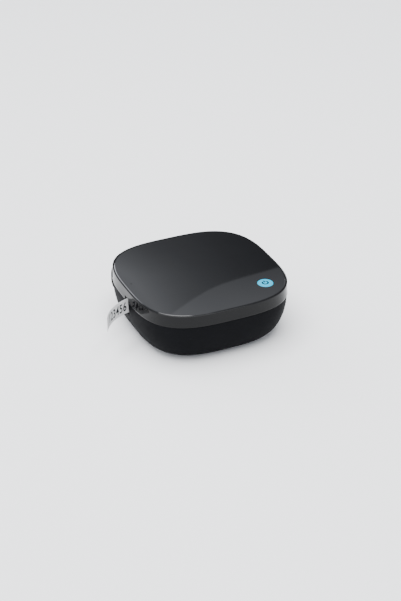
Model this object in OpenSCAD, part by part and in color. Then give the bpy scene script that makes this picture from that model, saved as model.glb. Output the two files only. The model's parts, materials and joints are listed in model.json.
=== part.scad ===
// Compact square label maker for 12 mm label tape: a dished base, a lid hinged at the rear, a direct thermal
// print unit fed from a drop-in cassette, a push-to-cut blade and four AA cells under the deck.
// Origin: middle of the base on the table. +Z up, -Y front, the label leaves through the -X side.

/* [Body] */
// Width of the body, left to right
body_w = 117; // [116:0.5:119]
// Depth of the body, front to rear
body_d = 116.6; // [116:0.2:119]
// How square the plan is: 2 is an ellipse, larger is squarer
plan_n = 3.19; // [3.1:0.01:3.4]
// Height of the dished base from its underside to the parting line
bowl_h = 30.7; // [30.7:0.1:31.5]
// How far the underside stands in from the parting line
bowl_inset = 14.5; // [13.5:0.1:15]
// How full the dish is: 2 is an elliptical side, larger is fuller
bowl_m = 2.05; // [2:0.01:2.3]
// Height of the lid's glossy side band
band_h = 9.8; // [9.8:0.1:11]
// Rise of the lid's top from its rim to its middle
crown_h = 0.8; // [0.4:0.1:1.2]
// Wall of the base
wall = 2.2; // [1.8:0.1:2.4]

/* [Power button] */
// Button centre, right of the middle
button_x = 36.7; // [35:0.1:38]
// Button centre, forward of the middle
button_y = -35.3; // [-36.5:0.1:-34]
// Button diameter
button_d = 11.6; // [11:0.1:13]
// Button travel
button_travel = 0.8; // [0.5:0.1:0.9]

/* [Label tape] */
// Width of the label tape, which stands upright in the machine
tape_w = 12; // [12:0.5:12]
// Thickness of the label tape with its backing
tape_t = 0.2; // [0.15:0.01:0.2]
// Outer radius of the roll in the cassette
roll_r = 15.5; // [12:0.5:16]
// Bend radius of the printed label just outside the slot
label_bend_near = 22; // [18:1:24]
// Bend radius of the printed label further out
label_bend_far = 34; // [32:1:46]

/* [Cutter] */
// How far the cutter button is pressed
press_travel = 2.4; // [2:0.1:2.4]
// Blade travel for each millimetre of button travel
blade_ratio = 1.6667; // [1.5:0.0001:1.6667]

/* [Feed gears] */
// Gear module: pitch diameter over the number of teeth
gear_m = 0.5; // [0.5:0.1:0.5]
// Teeth on the motor pinion
pinion_teeth = 10; // [10:1:10]
// Teeth on the large wheel of the stepped idler
idler_big_teeth = 30; // [30:1:30]
// Teeth on the small wheel of the stepped idler
idler_small_teeth = 12; // [12:1:12]
// Teeth on the plain idler
idler_plain_teeth = 24; // [24:1:24]
// Teeth on the platen gear
platen_teeth = 26; // [26:1:26]

/* [Hidden] */
$fn = 48;

// Levels, from the table up
foot_drop = 0.8;
base_z = foot_drop;
part_z = base_z + bowl_h;
rim_z = part_z + band_h;
floor_t = 1.8;
floor_z = base_z + floor_t;
lid_gap = 0.3;
lid_z = part_z + lid_gap;
shelf_t = 1.2;
seat_z = rim_z - shelf_t + 0.4;
shelf_z = seat_z - shelf_t;
deck_t = 1.6;
deck_z = 18.6;
deck_top = deck_z + deck_t;

// Plan sizes
half_w = body_w / 2;
half_d = body_d / 2;
plan_steps = 72;
bowl_rings = 9;
foot_n = 3.08;
lid_wall = 2.0;
rim_w = 0.75;
groove_w = 0.35;
panel_inset = rim_w + groove_w;
cover_inset = 3.2;
skirt_t = 1.4;
cover_t = 1.6;
cover_z = 36.4;
cover_top = cover_z + cover_t;

// Batteries: four AA cells side by side, alternate ends forward
cell_r = 7.25;
cell_pitch = 14.8;
cell_can = 49.2;
cell_nub = 1.3;
cell_z = base_z + 2.85 + cell_r;
contact_t = 0.4;
bay_x = 30.2;
bay_y = 28.2;
bay_wall = 1.2;
bay_top = 18.2;
cell_y0 = bay_y - contact_t - cell_nub - cell_can;

// Tape level and path
tape_z = 22;
tape_y = -1.3;
tape_edge = tape_t / 2;
contact_gap = 0.1;
cut_x = -50.5;
cut_gap = 1.2;
slot_y0 = -4.8;
slot_y1 = 1.4;
slot_z0 = 20.6;
slot_z1 = 35;

// Feed mechanism, seen from above
platen_r = 3.6;
platen = [-43, tape_y + tape_edge + contact_gap + platen_r];
motor = [-43.5, -27];
motor_r = 7.5;
gear_h = 2.4;
gear_low_z = 12.8;
gear_high_z = 15.6;
stepped = motor + pitch_sum(pinion_teeth, idler_big_teeth) * [cos(75), sin(75)];
plain = third_axis(
    stepped, platen, pitch_sum(idler_small_teeth, idler_plain_teeth),
    pitch_sum(idler_plain_teeth, platen_teeth)
);

// Phase of each gear, so that teeth meet spaces all along the train
stepped_phase = mesh_phase(motor, stepped, 0, pinion_teeth, idler_big_teeth);
plain_phase = mesh_phase(stepped, plain, stepped_phase, idler_small_teeth, idler_plain_teeth);
platen_phase = mesh_phase(plain, platen, plain_phase, idler_plain_teeth, platen_teeth);

// Cassette
cas_x0 = -34;
cas_x1 = 26;
cas_y0 = -24;
cas_y1 = 22;
cas_z0 = deck_top + 0.1;
cas_wall = 1.2;
cas_lid_z = 34.8;
cas_lid_t = 1.2;
cas_gap = 0.5;
cas_r = 1.5;
finger_x1 = 34;
finger_half = 8;
finger_z = 25.2;
roll = [6, -1];
core_r = 6;
core_bore_r = 4;
post = [-28.8, tape_y - 2 - tape_edge];
post_r = 2;

// Feet, screws, bosses and the board
foot_x = 31.5;
foot_y = 33.4;
foot_r = 3.6;
foot_sunk = 0.6;
boss_x = 34;
boss_y = 38;
cover_posts = [[49, 0], [40, 34], [-26, 40]];
plate_pegs = [[-36, 12], [-34.6, -27]];
motor_ears = [motor + [0, 10], motor - [0, 10]];
board_z = 26.4;
board_t = 1.6;
board_top = board_z + board_t;
board_posts = [[-16, -41], [-16, -30.5], [41, -29.5]];

// Hinge
hinge_y = half_d - 1.0;
hinge_z = part_z + 0.4;
knuckle_r = 2.0;
pin_r = 1.0;
pin_gap = 0.05;
lid_knuckles = [[-29, -25.3], [-16.7, -13], [13, 16.7], [25.3, 29]];
base_knuckles = [[-25, -17], [-12.7, 12.7], [17, 25]];

// Cutter
pad_y0 = 33;
pad_y1 = 46;
pad_z0 = 24.4;
pad_z1 = 37.4;
pad_proud = press_travel - 1;
// How far in the window for the pad reaches
pad_room = 16.6;
stem_z0 = 25.8;
stem_z1 = 30.2;
stem_y0 = 35;
stem_y1 = 42;
ramp_at = [-47.5, 36];
ramp_tip = 0.18;
carriage_x0 = -50.2;
carriage_x1 = -47.6;
carriage_z0 = 25.8;
carriage_z1 = 33;
carriage_reach = 40;
shoulder_y = 26;
cutter_spring_y = 13.8;

// Print head
head_x = -43;
head_x0 = -46.4;
head_x1 = -39.6;
head_face = tape_y - tape_edge - contact_gap;
head_back = head_face - 2.6;
head_spring_y = -11.8;
head_spring_z = 28;

// Printed label outside the machine
label_lead = 1.2;
label_turn_near = 25;
label_straight = 4;
label_turn_far = 40;

// Power button
cup_r = 7.6;
cup_z = 36;
bore_gap = 0.15;
cap_z = 39;
cap_edge_z = rim_z + 0.25;
guide_r = 2.5;

// ---- Plan outlines -------------------------------------------------------------------------------------

// Closed outline of a rounded square: |x/hx|^n + |y/hy|^n = 1
function plan(hx, hy, n = plan_n) = [
    for (i = [0 : plan_steps - 1])
        let (a = 360 * i / plan_steps)
        [hx * sign(cos(a)) * pow(abs(cos(a)), 2 / n), hy * sign(sin(a)) * pow(abs(sin(a)), 2 / n)]
];

function body_plan(inset, n = plan_n) = plan(half_w - inset, half_d - inset, n);

// Rounded rectangle from one corner to the other, with its corners as arcs of radius r
function rounded(x0, y0, x1, y1, r, steps = 6) = [
    for (c = [[x1 - r, y1 - r, 0], [x0 + r, y1 - r, 90], [x0 + r, y0 + r, 180], [x1 - r, y0 + r, 270]])
        for (i = [0 : steps])
            let (a = c[2] + 90 * i / steps)
            [c[0] + r * cos(a), c[1] + r * sin(a)]
];

module slab(outline, z0, z1) {
    translate([0, 0, z0])
        linear_extrude(z1 - z0)
            polygon(outline);
}

module block(x0, y0, z0, x1, y1, z1) {
    translate([x0, y0, z0])
        cube([x1 - x0, y1 - y0, z1 - z0]);
}

module rod(at, r, z0, z1) {
    translate([at[0], at[1], z0])
        cylinder(r = r, h = z1 - z0);
}

// Rod along Y
module rod_y(x, z, r, y0, y1) {
    translate([x, y1, z])
        rotate([90, 0, 0])
            cylinder(r = r, h = y1 - y0);
}

// Rod along X
module rod_x(y, z, r, x0, x1) {
    translate([x0, y, z])
        rotate([0, 90, 0])
            cylinder(r = r, h = x1 - x0);
}

// ---- Surfaces from stacked rings ------------------------------------------------------------------------

// Closed solid through rings of points, each ring level and given anticlockwise, the first ring lowest on
// the outside. The first and last rings are closed by flat faces.
module ring_stack(rings) {
    count = len(rings[0]);
    points = [for (ring = rings) for (p = ring) p];
    first = [for (i = [0 : count - 1]) i];
    last = [for (i = [count - 1 : -1 : 0]) (len(rings) - 1) * count + i];
    sides = [
        for (k = [0 : len(rings) - 2])
            for (i = [0 : count - 1])
                let (
                    j = (i + 1) % count, a = k * count + i, b = k * count + j,
                    c = a + count, d = b + count
                )
                each [[a, c, b], [b, c, d]]
    ];
    polyhedron(points = points, faces = concat([first], [last], sides), convexity = 6);
}

function at_level(outline, z) = [for (p = outline) [p[0], p[1], z]];

// Side of the dish as a quarter of a superellipse: how far in it stands at step a of 0 to 90 degrees,
// and how deep below the parting line that is
function dish_inset(a) = bowl_inset * (1 - pow(cos(a), 2 / bowl_m));
function dish_depth(a) = pow(sin(a), 2 / bowl_m);

// Half-way between the plan's squareness and that of the underside, by depth
function dish_n(a) = plan_n + (foot_n - plan_n) * dish_depth(a);

function dish_ring(a, inner) =
    let (thick = inner ? wall : 0, deep = bowl_h - (inner ? floor_t : 0))
    at_level(body_plan(thick + dish_inset(a), dish_n(a)), part_z - deep * dish_depth(a));

// ---- Gears and springs ----------------------------------------------------------------------------------

function pitch_sum(t1, t2) = gear_m * (t1 + t2) / 2;

// Axis that stands r1 from p and r2 from q, on the left of the line from p to q
function third_axis(p, q, r1, r2) =
    let (
        d = norm(q - p), u = (q - p) / d, along = (r1 * r1 - r2 * r2 + d * d) / (2 * d),
        off = sqrt(r1 * r1 - along * along)
    )
    p + along * u + off * [-u[1], u[0]];

// Angle of a tooth on the second gear, so that it meets a space of the first
function mesh_phase(p, q, phase, t1, t2) =
    let (a = atan2(q[1] - p[1], q[0] - p[0]))
    a + 180 - (phase - a) * t1 / t2 - 180 / t2;

// Spur gear outline: trapezoid teeth with relieved tips, one tooth centred on the phase angle
function gear_outline(teeth, phase) =
    let (
        rp = gear_m * teeth / 2, step = 360 / teeth,
        marks = [[-0.36, -1.2], [-0.20, 0], [-0.10, 0.85], [0.10, 0.85], [0.20, 0], [0.36, -1.2]]
    )
    [
        for (i = [0 : teeth - 1]) for (m = marks)
            let (r = rp + m[1] * gear_m, a = phase + (i + m[0]) * step)
            r * [cos(a), sin(a)]
    ];

module gear(at, teeth, phase, z0, h, bore_r) {
    translate([at[0], at[1], z0])
        difference() {
            linear_extrude(h)
                polygon(gear_outline(teeth, phase));
            translate([0, 0, -1])
                cylinder(r = bore_r, h = h + 2);
        }
}

// Helical compression spring along +Z, its wire of six sides
module coil(r, wire_r, length, turns, r_end = undef) {
    ring_sides = 6;
    steps = 12 * turns;
    top_r = is_undef(r_end) ? r : r_end;
    rise = length - 2 * wire_r;
    points = [
        for (i = [0 : steps]) for (k = [0 : ring_sides - 1])
            let (
                s = i / steps, a = 360 * turns * s, b = 360 * k / ring_sides,
                rr = r + (top_r - r) * s + wire_r * cos(b)
            )
            [rr * cos(a), rr * sin(a), wire_r + rise * s + wire_r * sin(b)]
    ];
    first = [for (k = [ring_sides - 1 : -1 : 0]) k];
    last = [for (k = [0 : ring_sides - 1]) steps * ring_sides + k];
    sides = [
        for (i = [0 : steps - 1]) for (k = [0 : ring_sides - 1])
            let (
                m = (k + 1) % ring_sides, a = i * ring_sides + k, b = i * ring_sides + m,
                c = a + ring_sides, d = b + ring_sides
            )
            each [[a, b, c], [b, d, c]]
    ];
    polyhedron(points = points, faces = concat([first], [last], sides), convexity = 8);
}

// Pan-head screw standing on z, with its cross slot
module screw(at, z, shank_r, length, head_r, head_h) {
    difference() {
        union() {
            rod(at, shank_r, z - length, z + 0.2);
            rod(at, head_r, z, z + head_h);
        }
        for (turn = [0, 90])
            translate([at[0], at[1], z + head_h])
                rotate([0, 0, turn])
                    cube([head_r * 1.2, 0.4, head_h], center = true);
    }
}

// ---- Base -----------------------------------------------------------------------------------------------

module corners(x, y) {
    for (sx = [-1, 1]) for (sy = [-1, 1])
        translate([sx * x, sy * y, 0])
            children();
}

module base_shell() {
    rings = concat(
        [for (i = [bowl_rings : -1 : 0]) dish_ring(90 * i / bowl_rings, false)],
        [for (i = [0 : bowl_rings]) dish_ring(90 * i / bowl_rings, true)]
    );
    color("#17181a")
        difference() {
            union() {
                ring_stack(rings);
                corners(boss_x, boss_y)
                    rod([0, 0], 3, floor_z - 0.6, deck_z);
                difference() {
                    block(
                        -bay_x - bay_wall, -bay_y - bay_wall, floor_z - 0.6,
                        bay_x + bay_wall, bay_y + bay_wall, bay_top
                    );
                    block(-bay_x, -bay_y, 0, bay_x, bay_y, bay_top + 1);
                }
                for (k = base_knuckles) {
                    rod_x(hinge_y, hinge_z, knuckle_r, k[0], k[1]);
                    block(k[0], hinge_y - 1.2, part_z - 3, k[1], hinge_y + 0.2, hinge_z);
                }
            }
            block(-bay_x, -bay_y, 0, bay_x, bay_y, 6);
            corners(foot_x, foot_y)
                rod([0, 0], foot_r + 0.1, 0, base_z + foot_sunk);
            corners(boss_x, boss_y)
                rod([0, 0], 1, 8, deck_z + 1);
            // Way out for the label
            block(-half_w - 2, slot_y0, slot_z0, -half_w + 6, slot_y1, part_z + 1);
            // Window for the cutter button
            block(-half_w - 2, pad_y0 - 0.4, pad_z0 - 0.4, -half_w + pad_room, pad_y1 + 0.4, part_z + 1);
            // Room for the lid's knuckles
            for (k = lid_knuckles) {
                block(k[0] - 0.3, hinge_y - 3, hinge_z - knuckle_r - 0.3, k[1] + 0.3, half_d + 3, part_z + 3);
            }
            rod_x(hinge_y, hinge_z, pin_r, -29.5, 29.5);
        }
}

module battery_cover() {
    gap = 0.3;
    x = bay_x - gap;
    y = bay_y - gap;
    color("#1a1b1d")
        difference() {
            union() {
                slab(rounded(-x, -y, x, y, 1.2), base_z, base_z + 1.8);
                for (i = [-1 : 1])
                    block(i * cell_pitch - 0.6, -16, base_z + 1.6, i * cell_pitch + 0.6, 16, base_z + 4.6);
                for (side = [-1, 1])
                    block(side * 20 - 4, -y, base_z + 1.6, side * 20 + 4, -y + 1, base_z + 3.4);
            }
            // Thumb recess of the catch
            translate([0, -20, base_z - 6.2])
                sphere(r = 7.2);
            for (i = [0 : 3])
                block(-5, -10 + 2.4 * i, base_z - 1, 5, -9 + 2.4 * i, base_z + 0.5);
        }
}

module rubber_feet() {
    color("#232427")
        corners(foot_x, foot_y)
            rod([0, 0], foot_r, 0, base_z + foot_sunk);
}

// ---- Deck -----------------------------------------------------------------------------------------------

module chassis() {
    inset = wall + 1.5 + 0.6;
    guide_x = -40.5;
    rail_z = carriage_z0 - 0.1;
    color("#2b2d30")
        difference() {
            union() {
                slab(body_plan(inset), deck_z, deck_top);
                for (p = board_posts)
                    rod(p, 2.2, deck_top - 0.2, board_z);
                // Lower bearing of the platen
                rod(platen, 2.6, deck_top - 0.2, deck_top + 0.9);
                // Rail of the cutter carriage, and rest and rear guide of the cutter button's stem
                block(-50, 6, deck_top - 0.2, -47.8, 34, rail_z);
                block(-45.4, 34.6, deck_top - 0.2, guide_x, 42.2, stem_z0 - 0.1);
                block(-44.2, stem_y1 + 0.3, deck_top - 0.2, guide_x, stem_y1 + 1.5, 30);
                // Seat of the cutter spring
                block(-47.4, cutter_spring_y - 1.4, deck_top - 0.2, -44.9, cutter_spring_y, 30);
                // Seat of the print head spring
                block(head_x - 2.5, head_spring_y - 1.4, deck_top - 0.2, head_x + 2.5, head_spring_y, 31);
                // Side guides of the print head carrier
                block(head_x0 - 2, -9, deck_top - 0.2, head_x0 - 0.5, slot_y0, 26);
                block(head_x1 + 0.5, -9, deck_top - 0.2, head_x1 + 2, slot_y0, 26);
                // Posts of the inner cover
                for (p = cover_posts)
                    rod(p, 2.4, deck_top - 0.2, cover_z);
                // Pegs that locate the gear plate
                for (p = plate_pegs)
                    rod(p, 2, gear_low_z - 0.4, deck_z + 0.2);
            }
            rod(motor, 3.4, deck_z - 1, deck_top + 1);
            rod(platen, 1.3, deck_z - 1, deck_top + 2);
            for (p = [stepped, plain])
                rod(p, 0.8, deck_z - 1, deck_top + 1);
            corners(boss_x, boss_y)
                rod([0, 0], 1.4, deck_z - 1, deck_top + 1);
            for (p = board_posts)
                rod(p, 0.8, 22, board_z + 1);
            for (p = cover_posts)
                rod(p, 0.9, 28, cover_z + 1);
            for (p = plate_pegs)
                rod(p, 0.7, gear_low_z - 1, deck_z - 1);
            for (p = motor_ears)
                rod(p, 0.8, deck_z - 1, deck_top + 1);
        }
}

module chassis_screws() {
    color("#8d9096")
        for (sx = [-1, 1]) for (sy = [-1, 1])
            screw([sx * boss_x, sy * boss_y], deck_top, 1, 9, 2.3, 1.3);
}

// Outline of the cassette, grown by a gap or a wall
function cassette_plan(grow, r) =
    rounded(cas_x0 - grow, cas_y0 - grow, cas_x1 + grow, cas_y1 + grow, r);

// Outline of the finger recess at the cassette's right end, which reaches back over the cassette
function finger_plan(back, grow) =
    rounded(cas_x1 - back, -finger_half - grow, finger_x1 + grow, finger_half + grow, cas_r + grow);

// Outline of the opening over the print unit
print_opening = rounded(-48.8, -10.4, -30, 8.4, cas_r);

module inner_cover() {
    light_well_r = 8.8;
    color("#242629")
        difference() {
            slab(body_plan(cover_inset), part_z + 0.5, cover_top);
            slab(body_plan(cover_inset + skirt_t), part_z - 1, cover_z);
            slab(cassette_plan(cas_gap, cas_r), cover_z - 1, cover_top + 1);
            slab(finger_plan(6, 0), cover_z - 1, cover_top + 1);
            // Opening over the print unit
            slab(print_opening, cover_z - 1, cover_top + 1);
            rod([button_x, button_y], light_well_r, cover_z - 1, cover_top + 1);
            // Catch slot
            block(-7, -53.2, cover_z - 1, 7, -50.6, cover_top + 1);
            // Way out for the label and for the cutter button
            block(-half_w, slot_y0, part_z - 1, -half_w + 8, slot_y1 + 0.2, slot_z1 + 1.2);
            block(-half_w, pad_y0 - 1.6, part_z - 1, -half_w + pad_room, pad_y1 + 1.6, cover_top + 1);
            for (p = cover_posts)
                rod(p, 1.2, cover_z - 1, cover_top + 1);
        }
}

// Walls around the cassette, with the finger recess at the right end; open on the left to the print unit
module cassette_well() {
    color("#242629")
        difference() {
            union() {
                slab(cassette_plan(cas_gap + bay_wall, cas_r + bay_wall), deck_top, cover_z);
                slab(finger_plan(4, bay_wall), finger_z - 1.2, cover_z);
            }
            slab(cassette_plan(cas_gap, cas_r), deck_top - 1, cover_z + 1);
            slab(finger_plan(6, 0), finger_z, cover_z + 1);
            slab(print_opening, deck_top - 1, cover_z + 1);
        }
}

module cover_screws() {
    color("#8d9096")
        for (p = cover_posts)
            screw(p, cover_top, 0.9, 7, 2, 0.9);
}

// ---- Power ----------------------------------------------------------------------------------------------

// Places one cell's worth of parts for each cell, turned end for end on alternate cells
module each_cell() {
    for (i = [0 : 3])
        translate([(i - 1.5) * cell_pitch, 0, cell_z])
            rotate([0, 0, 180 * (i % 2)])
                children();
}

module aa_batteries() {
    color("#c9a24a")
        each_cell() {
            rod_y(0, 0, cell_r, cell_y0, cell_y0 + cell_can);
            rod_y(0, 0, 2.75, cell_y0 + cell_can - 0.1, cell_y0 + cell_can + cell_nub);
        }
}

module battery_contacts() {
    color("#c8ccd0")
        each_cell()
            for (end = [-bay_y, bay_y - contact_t])
                block(-5, end, -5, 5, end + contact_t, 5);
}

module battery_springs() {
    color("#c8ccd0")
        each_cell()
            translate([0, -bay_y + contact_t, 0])
                rotate([-90, 0, 0])
                    coil(4.2, 0.3, bay_y - contact_t + cell_y0, 3, 2.4);
}

// ---- Feed drive -----------------------------------------------------------------------------------------

module step_motor() {
    color("#9ea2a7")
        difference() {
            union() {
                rod(motor, motor_r, deck_top + 0.8, deck_top + 12.6);
                rod(motor, 3.2, deck_top - 0.6, deck_top + 1);
                slab(
                    [for (p = rounded(-3, -12.5, 3, 12.5, 2.8)) p + motor],
                    deck_top, deck_top + 0.8
                );
                block(motor[0] - 4, motor[1] - 9.6, deck_top + 3, motor[0] + 4, motor[1] - 7, deck_top + 9);
            }
            rod(motor, 0.85, 15, deck_top + 8);
            for (p = motor_ears)
                rod(p, 1, deck_top - 1, deck_top + 3);
        }
}

module motor_screws() {
    color("#8d9096")
        for (p = motor_ears)
            screw(p, deck_top + 0.8, 0.7, 2.2, 1.5, 0.8);
}

module motor_shaft() {
    color("#c8ccd0")
        rod(motor, 0.75, gear_high_z - 0.2, deck_top + 7);
}

module drive_pinion() {
    color("#c7a552")
        gear(motor, pinion_teeth, 0, gear_high_z - 0.2, gear_h + 0.4, 0.75);
}

module idler_axles() {
    color("#c8ccd0")
        for (p = [stepped, plain])
            rod(p, 0.8, gear_low_z - 1.2, deck_top - 0.2);
}

module stepped_idler() {
    small_h = gear_high_z - gear_low_z + 0.1;
    color("#e8e6df") {
        difference() {
            union() {
                gear(stepped, idler_big_teeth, stepped_phase, gear_high_z, gear_h, 0.85);
                gear(stepped, idler_small_teeth, stepped_phase, gear_low_z, small_h, 0.85);
            }
            rod(stepped, 0.85, 0, 30);
        }
    }
}

module plain_idler() {
    color("#e8e6df")
        gear(plain, idler_plain_teeth, plain_phase, gear_low_z, gear_h, 0.85);
}

module platen_gear() {
    color("#e8e6df")
        gear(platen, platen_teeth, platen_phase, gear_low_z, gear_h, 1.25);
}

module gear_plate() {
    z0 = gear_low_z - 1.2;
    spots = concat(plate_pegs, [stepped, platen, plain]);
    color("#a9adb2")
        difference() {
            hull()
                for (p = spots)
                    rod(p, 3, z0, z0 + 0.8, $fn = 32);
            rod(platen, 1.3, z0 - 1, z0 + 2);
            for (p = [stepped, plain])
                rod(p, 0.8, z0 - 1, z0 + 2);
            for (p = plate_pegs)
                rod(p, 0.9, z0 - 1, z0 + 2);
        }
}

module gear_plate_screws() {
    color("#8d9096")
        for (p = plate_pegs)
            mirror([0, 0, 1])
                screw(p, -(gear_low_z - 1.2), 0.7, 3.6, 1.6, 0.8);
}

module platen_shaft() {
    color("#c8ccd0")
        rod(platen, 1.25, gear_low_z - 1.2, 36.8);
}

module platen_roller() {
    color("#3a3b3d")
        difference() {
            rod(platen, platen_r, tape_z - 0.5, tape_z + tape_w + 0.5);
            rod(platen, 1.25, 0, 40);
        }
}

// ---- Print head -----------------------------------------------------------------------------------------

module head_carrier() {
    fin_pitch = 1.87;
    color("#9fa4aa")
        difference() {
            union() {
                block(head_x0, head_back, 20.9, head_x1, head_face - 1, 35);
                block(head_x0, head_back - 3.8, 20.9, head_x1, head_back + 0.2, 22.6);
                for (i = [0 : 3])
                    translate([head_x0 + fin_pitch * i, 0, 0])
                        block(0, head_back - 2.4, 22.4, 1.2, head_back + 0.2, 34);
            }
            rod_y(head_x, head_spring_z, 1.7, head_back - 5, head_back);
        }
}

module thermal_head() {
    color("#e9e7e1") {
        block(head_x0 + 0.6, head_face - 1, 21.4, head_x1 - 0.6, head_face, 34.6);
    }
}

module head_spring() {
    color("#c8ccd0")
        translate([head_x, head_spring_y, head_spring_z])
            rotate([-90, 0, 0])
                coil(1.2, 0.2, head_back - head_spring_y, 5);
}

// Flat cable from the print head's connector over the deck to the board
module head_flex() {
    z0 = deck_top + 0.1;
    color("#c98a3a") {
        block(-38.6, -27, z0, -36.6, -10, z0 + 0.15);
        block(-38.6, -29, z0, -22, -27, z0 + 0.15);
    }
}

// ---- Way out and cutter ---------------------------------------------------------------------------------

module outlet_guide() {
    x0 = -54.6;
    x1 = -51.5;
    color("#303236") {
        block(x0, -4.6, deck_top, -47.2, -3.4, 35);
        block(x0, 0.5, deck_top + 1, x1, 1.3, 35);
        block(x0, -4.6, deck_top, x1, 1.3, 21.4);
        // Anvil behind the tape, upstream of the blade
        difference() {
            block(-51.5, -3.5, deck_top, -47.2, -1.7, 35);
            block(cut_x - 0.6, -3.6, deck_top - 1, cut_x + 0.6, 0, 36);
        }
    }
}

// Ramp line of the cutter: points on it at height y, moved right by shift
function ramp_x(y, shift) = ramp_at[0] + (y - ramp_at[1]) / blade_ratio + shift;

module cutter_button() {
    color("#1a1b1d") {
        intersection() {
            difference() {
                slab(body_plan(-pad_proud), pad_z0, pad_z1);
                slab(body_plan(2.0), pad_z0 - 1, pad_z1 + 1);
            }
            block(-half_w - 5, pad_y0, 0, -30, pad_y1, 50);
        }
        slab(
            [
                [-53.5, stem_y0], [ramp_x(stem_y0, -ramp_tip), stem_y0],
                [ramp_x(stem_y1, -ramp_tip), stem_y1], [-50.5, stem_y1]
            ],
            stem_z0, stem_z1
        );
    }
}

module cutter_carriage() {
    wide_x = ramp_x(carriage_reach, ramp_tip);
    blunt_y = carriage_reach - 0.4;
    color("#d8d6cf")
        slab(
            [
                [carriage_x0, 5], [carriage_x1, 5], [carriage_x1, shoulder_y], [wide_x, shoulder_y],
                [wide_x, carriage_reach], [ramp_x(blunt_y, ramp_tip), blunt_y],
                [carriage_x0, ramp_at[1] + (carriage_x0 - ramp_tip - ramp_at[0]) * blade_ratio]
            ],
            carriage_z0, carriage_z1
        );
}

module cutter_blade() {
    color("#d3d6da")
        translate([carriage_x0 - 0.6, 0, 0])
            rotate([90, 0, 90])
                linear_extrude(0.6)
                    polygon([[0.7, 21.6], [2.2, 34.6], [9.5, 34.6], [9.5, 21.6]]);
}

module blade_rivets() {
    color("#8d9096")
        for (z = [27.6, 31.4])
            rod_x(7.6, z, 0.7, carriage_x0 - 1.0, carriage_x0 - 0.6);
}

module cutter_spring() {
    color("#c8ccd0")
        translate([-46.2, cutter_spring_y, 28.6])
            rotate([-90, 0, 0])
                coil(1.0, 0.2, shoulder_y - cutter_spring_y, 8);
}

// ---- Cassette and tape ----------------------------------------------------------------------------------

module cassette_body() {
    color("#d9d9d4")
        difference() {
            union() {
                difference() {
                    slab(rounded(cas_x0, cas_y0, cas_x1, cas_y1, 2), cas_z0, cas_lid_z);
                    slab(
                        rounded(
                            cas_x0 + cas_wall, cas_y0 + cas_wall, cas_x1 - cas_wall, cas_y1 - cas_wall, 1
                        ),
                        cas_z0 + cas_wall, cas_lid_z + 1
                    );
                }
                rod(roll, core_bore_r - 0.06, cas_z0 + 1, cas_lid_z);
                rod(post, post_r, cas_z0 + 1, cas_lid_z);
            }
            rod(roll, 2.4, cas_z0 - 1, cas_lid_z + 1);
            // Slit for the tape
            block(cas_x0 - 1, tape_y - 1, cas_z0 + cas_wall, cas_x0 + 2, tape_y + 1, cas_lid_z + 1);
        }
}

module cassette_cover() {
    color("#ecece8")
        difference() {
            slab(rounded(cas_x0, cas_y0, cas_x1, cas_y1, 2), cas_lid_z, cas_lid_z + cas_lid_t);
            rod(roll, 2.4, 30, 40);
            // Window onto the roll
            difference() {
                rod(roll, 13.6, 30, 40);
                rod(roll, 8.5, 29, 41);
                block(-40, roll[1] - 2, 29, 40, roll[1] + 2, 41);
                block(roll[0] - 2, -40, 29, roll[0] + 2, 40, 41);
            }
        }
}

module tape_core() {
    color("#c9ccd1")
        difference() {
            rod(roll, core_r, tape_z - 0.1, tape_z + tape_w + 0.3);
            rod(roll, core_bore_r, 0, 40);
        }
}

module tape_roll() {
    color("#f4f3ee")
        difference() {
            rod(roll, roll_r, tape_z, tape_z + tape_w);
            rod(roll, core_r, 0, 40);
        }
}

// Points and headings along an arc: it starts at a point with heading h and bends by turn degrees at
// radius r, to the left
function bend(at, h, r, turn, steps) = [
    for (i = [0 : steps])
        let (out = h + turn * i / steps)
        [at + r * [-sin(h), cos(h)] - r * [-sin(out), cos(out)], out]
];

function ahead(spot, length) = [spot[0] + length * [cos(spot[1]), sin(spot[1])], spot[1]];

// Upright tape along a list of points with headings
module tape_along(path) {
    side = [for (spot = path) tape_edge * [-sin(spot[1]), cos(spot[1])]];
    last = len(path) - 1;
    slab(
        concat(
            [for (i = [0 : last]) path[i][0] - side[i]],
            [for (i = [last : -1 : 0]) path[i][0] + side[i]]
        ),
        tape_z, tape_z + tape_w
    );
}

// Tape from the roll, round the post and past the print head to the cutter
module tape_strand() {
    near_r = post_r + tape_edge;
    far_r = roll_r + tape_edge + 0.25;
    d = norm(roll - post);
    run = sqrt(d * d - pow(near_r + far_r, 2));
    slope = atan2(roll[1] - post[1], roll[0] - post[0]) - asin((near_r + far_r) / d);
    tangent = [post + near_r * [-sin(slope), cos(slope)], slope + 180];
    round_post = bend(tangent[0], tangent[1], near_r, -slope, 4);
    end = ahead(round_post[4], post[0] - cut_x - cut_gap / 2);
    color("#f4f3ee")
        tape_along(concat([ahead(tangent, -run)], round_post, [end]));
}

// Printed label that hangs out of the slot, curling towards the front
module printed_label() {
    start = [[cut_x - cut_gap / 2, tape_y], 180];
    near = bend(ahead(start, label_lead)[0], 180, label_bend_near, label_turn_near, 8);
    far_start = ahead(near[8], label_straight);
    far = bend(far_start[0], far_start[1], label_bend_far, label_turn_far, 16);
    color("#f7f7f4")
        tape_along(concat([start], near, far));
}

// ---- Electronics ----------------------------------------------------------------------------------------

module main_board() {
    color("#1f5a3c")
        difference() {
            slab(rounded(-20, -44.5, 44, -27, 2), board_z, board_top);
            for (p = board_posts)
                rod(p, 1.1, board_z - 1, board_top + 1);
        }
}

module board_screws() {
    color("#8d9096")
        for (p = board_posts)
            screw(p, board_top, 0.8, 4, 1.7, 0.9);
}

module processor_chip() {
    color("#101113")
        block(2, -40, board_top, 10, -32, board_top + 1);
}

module radio_module() {
    color("#b9bdc2")
        difference() {
            block(14, -43.5, board_top, 25, -30, board_top + 2.2);
            block(15, -42.5, board_top + 1.9, 24, -31, board_top + 3);
        }
}

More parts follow.
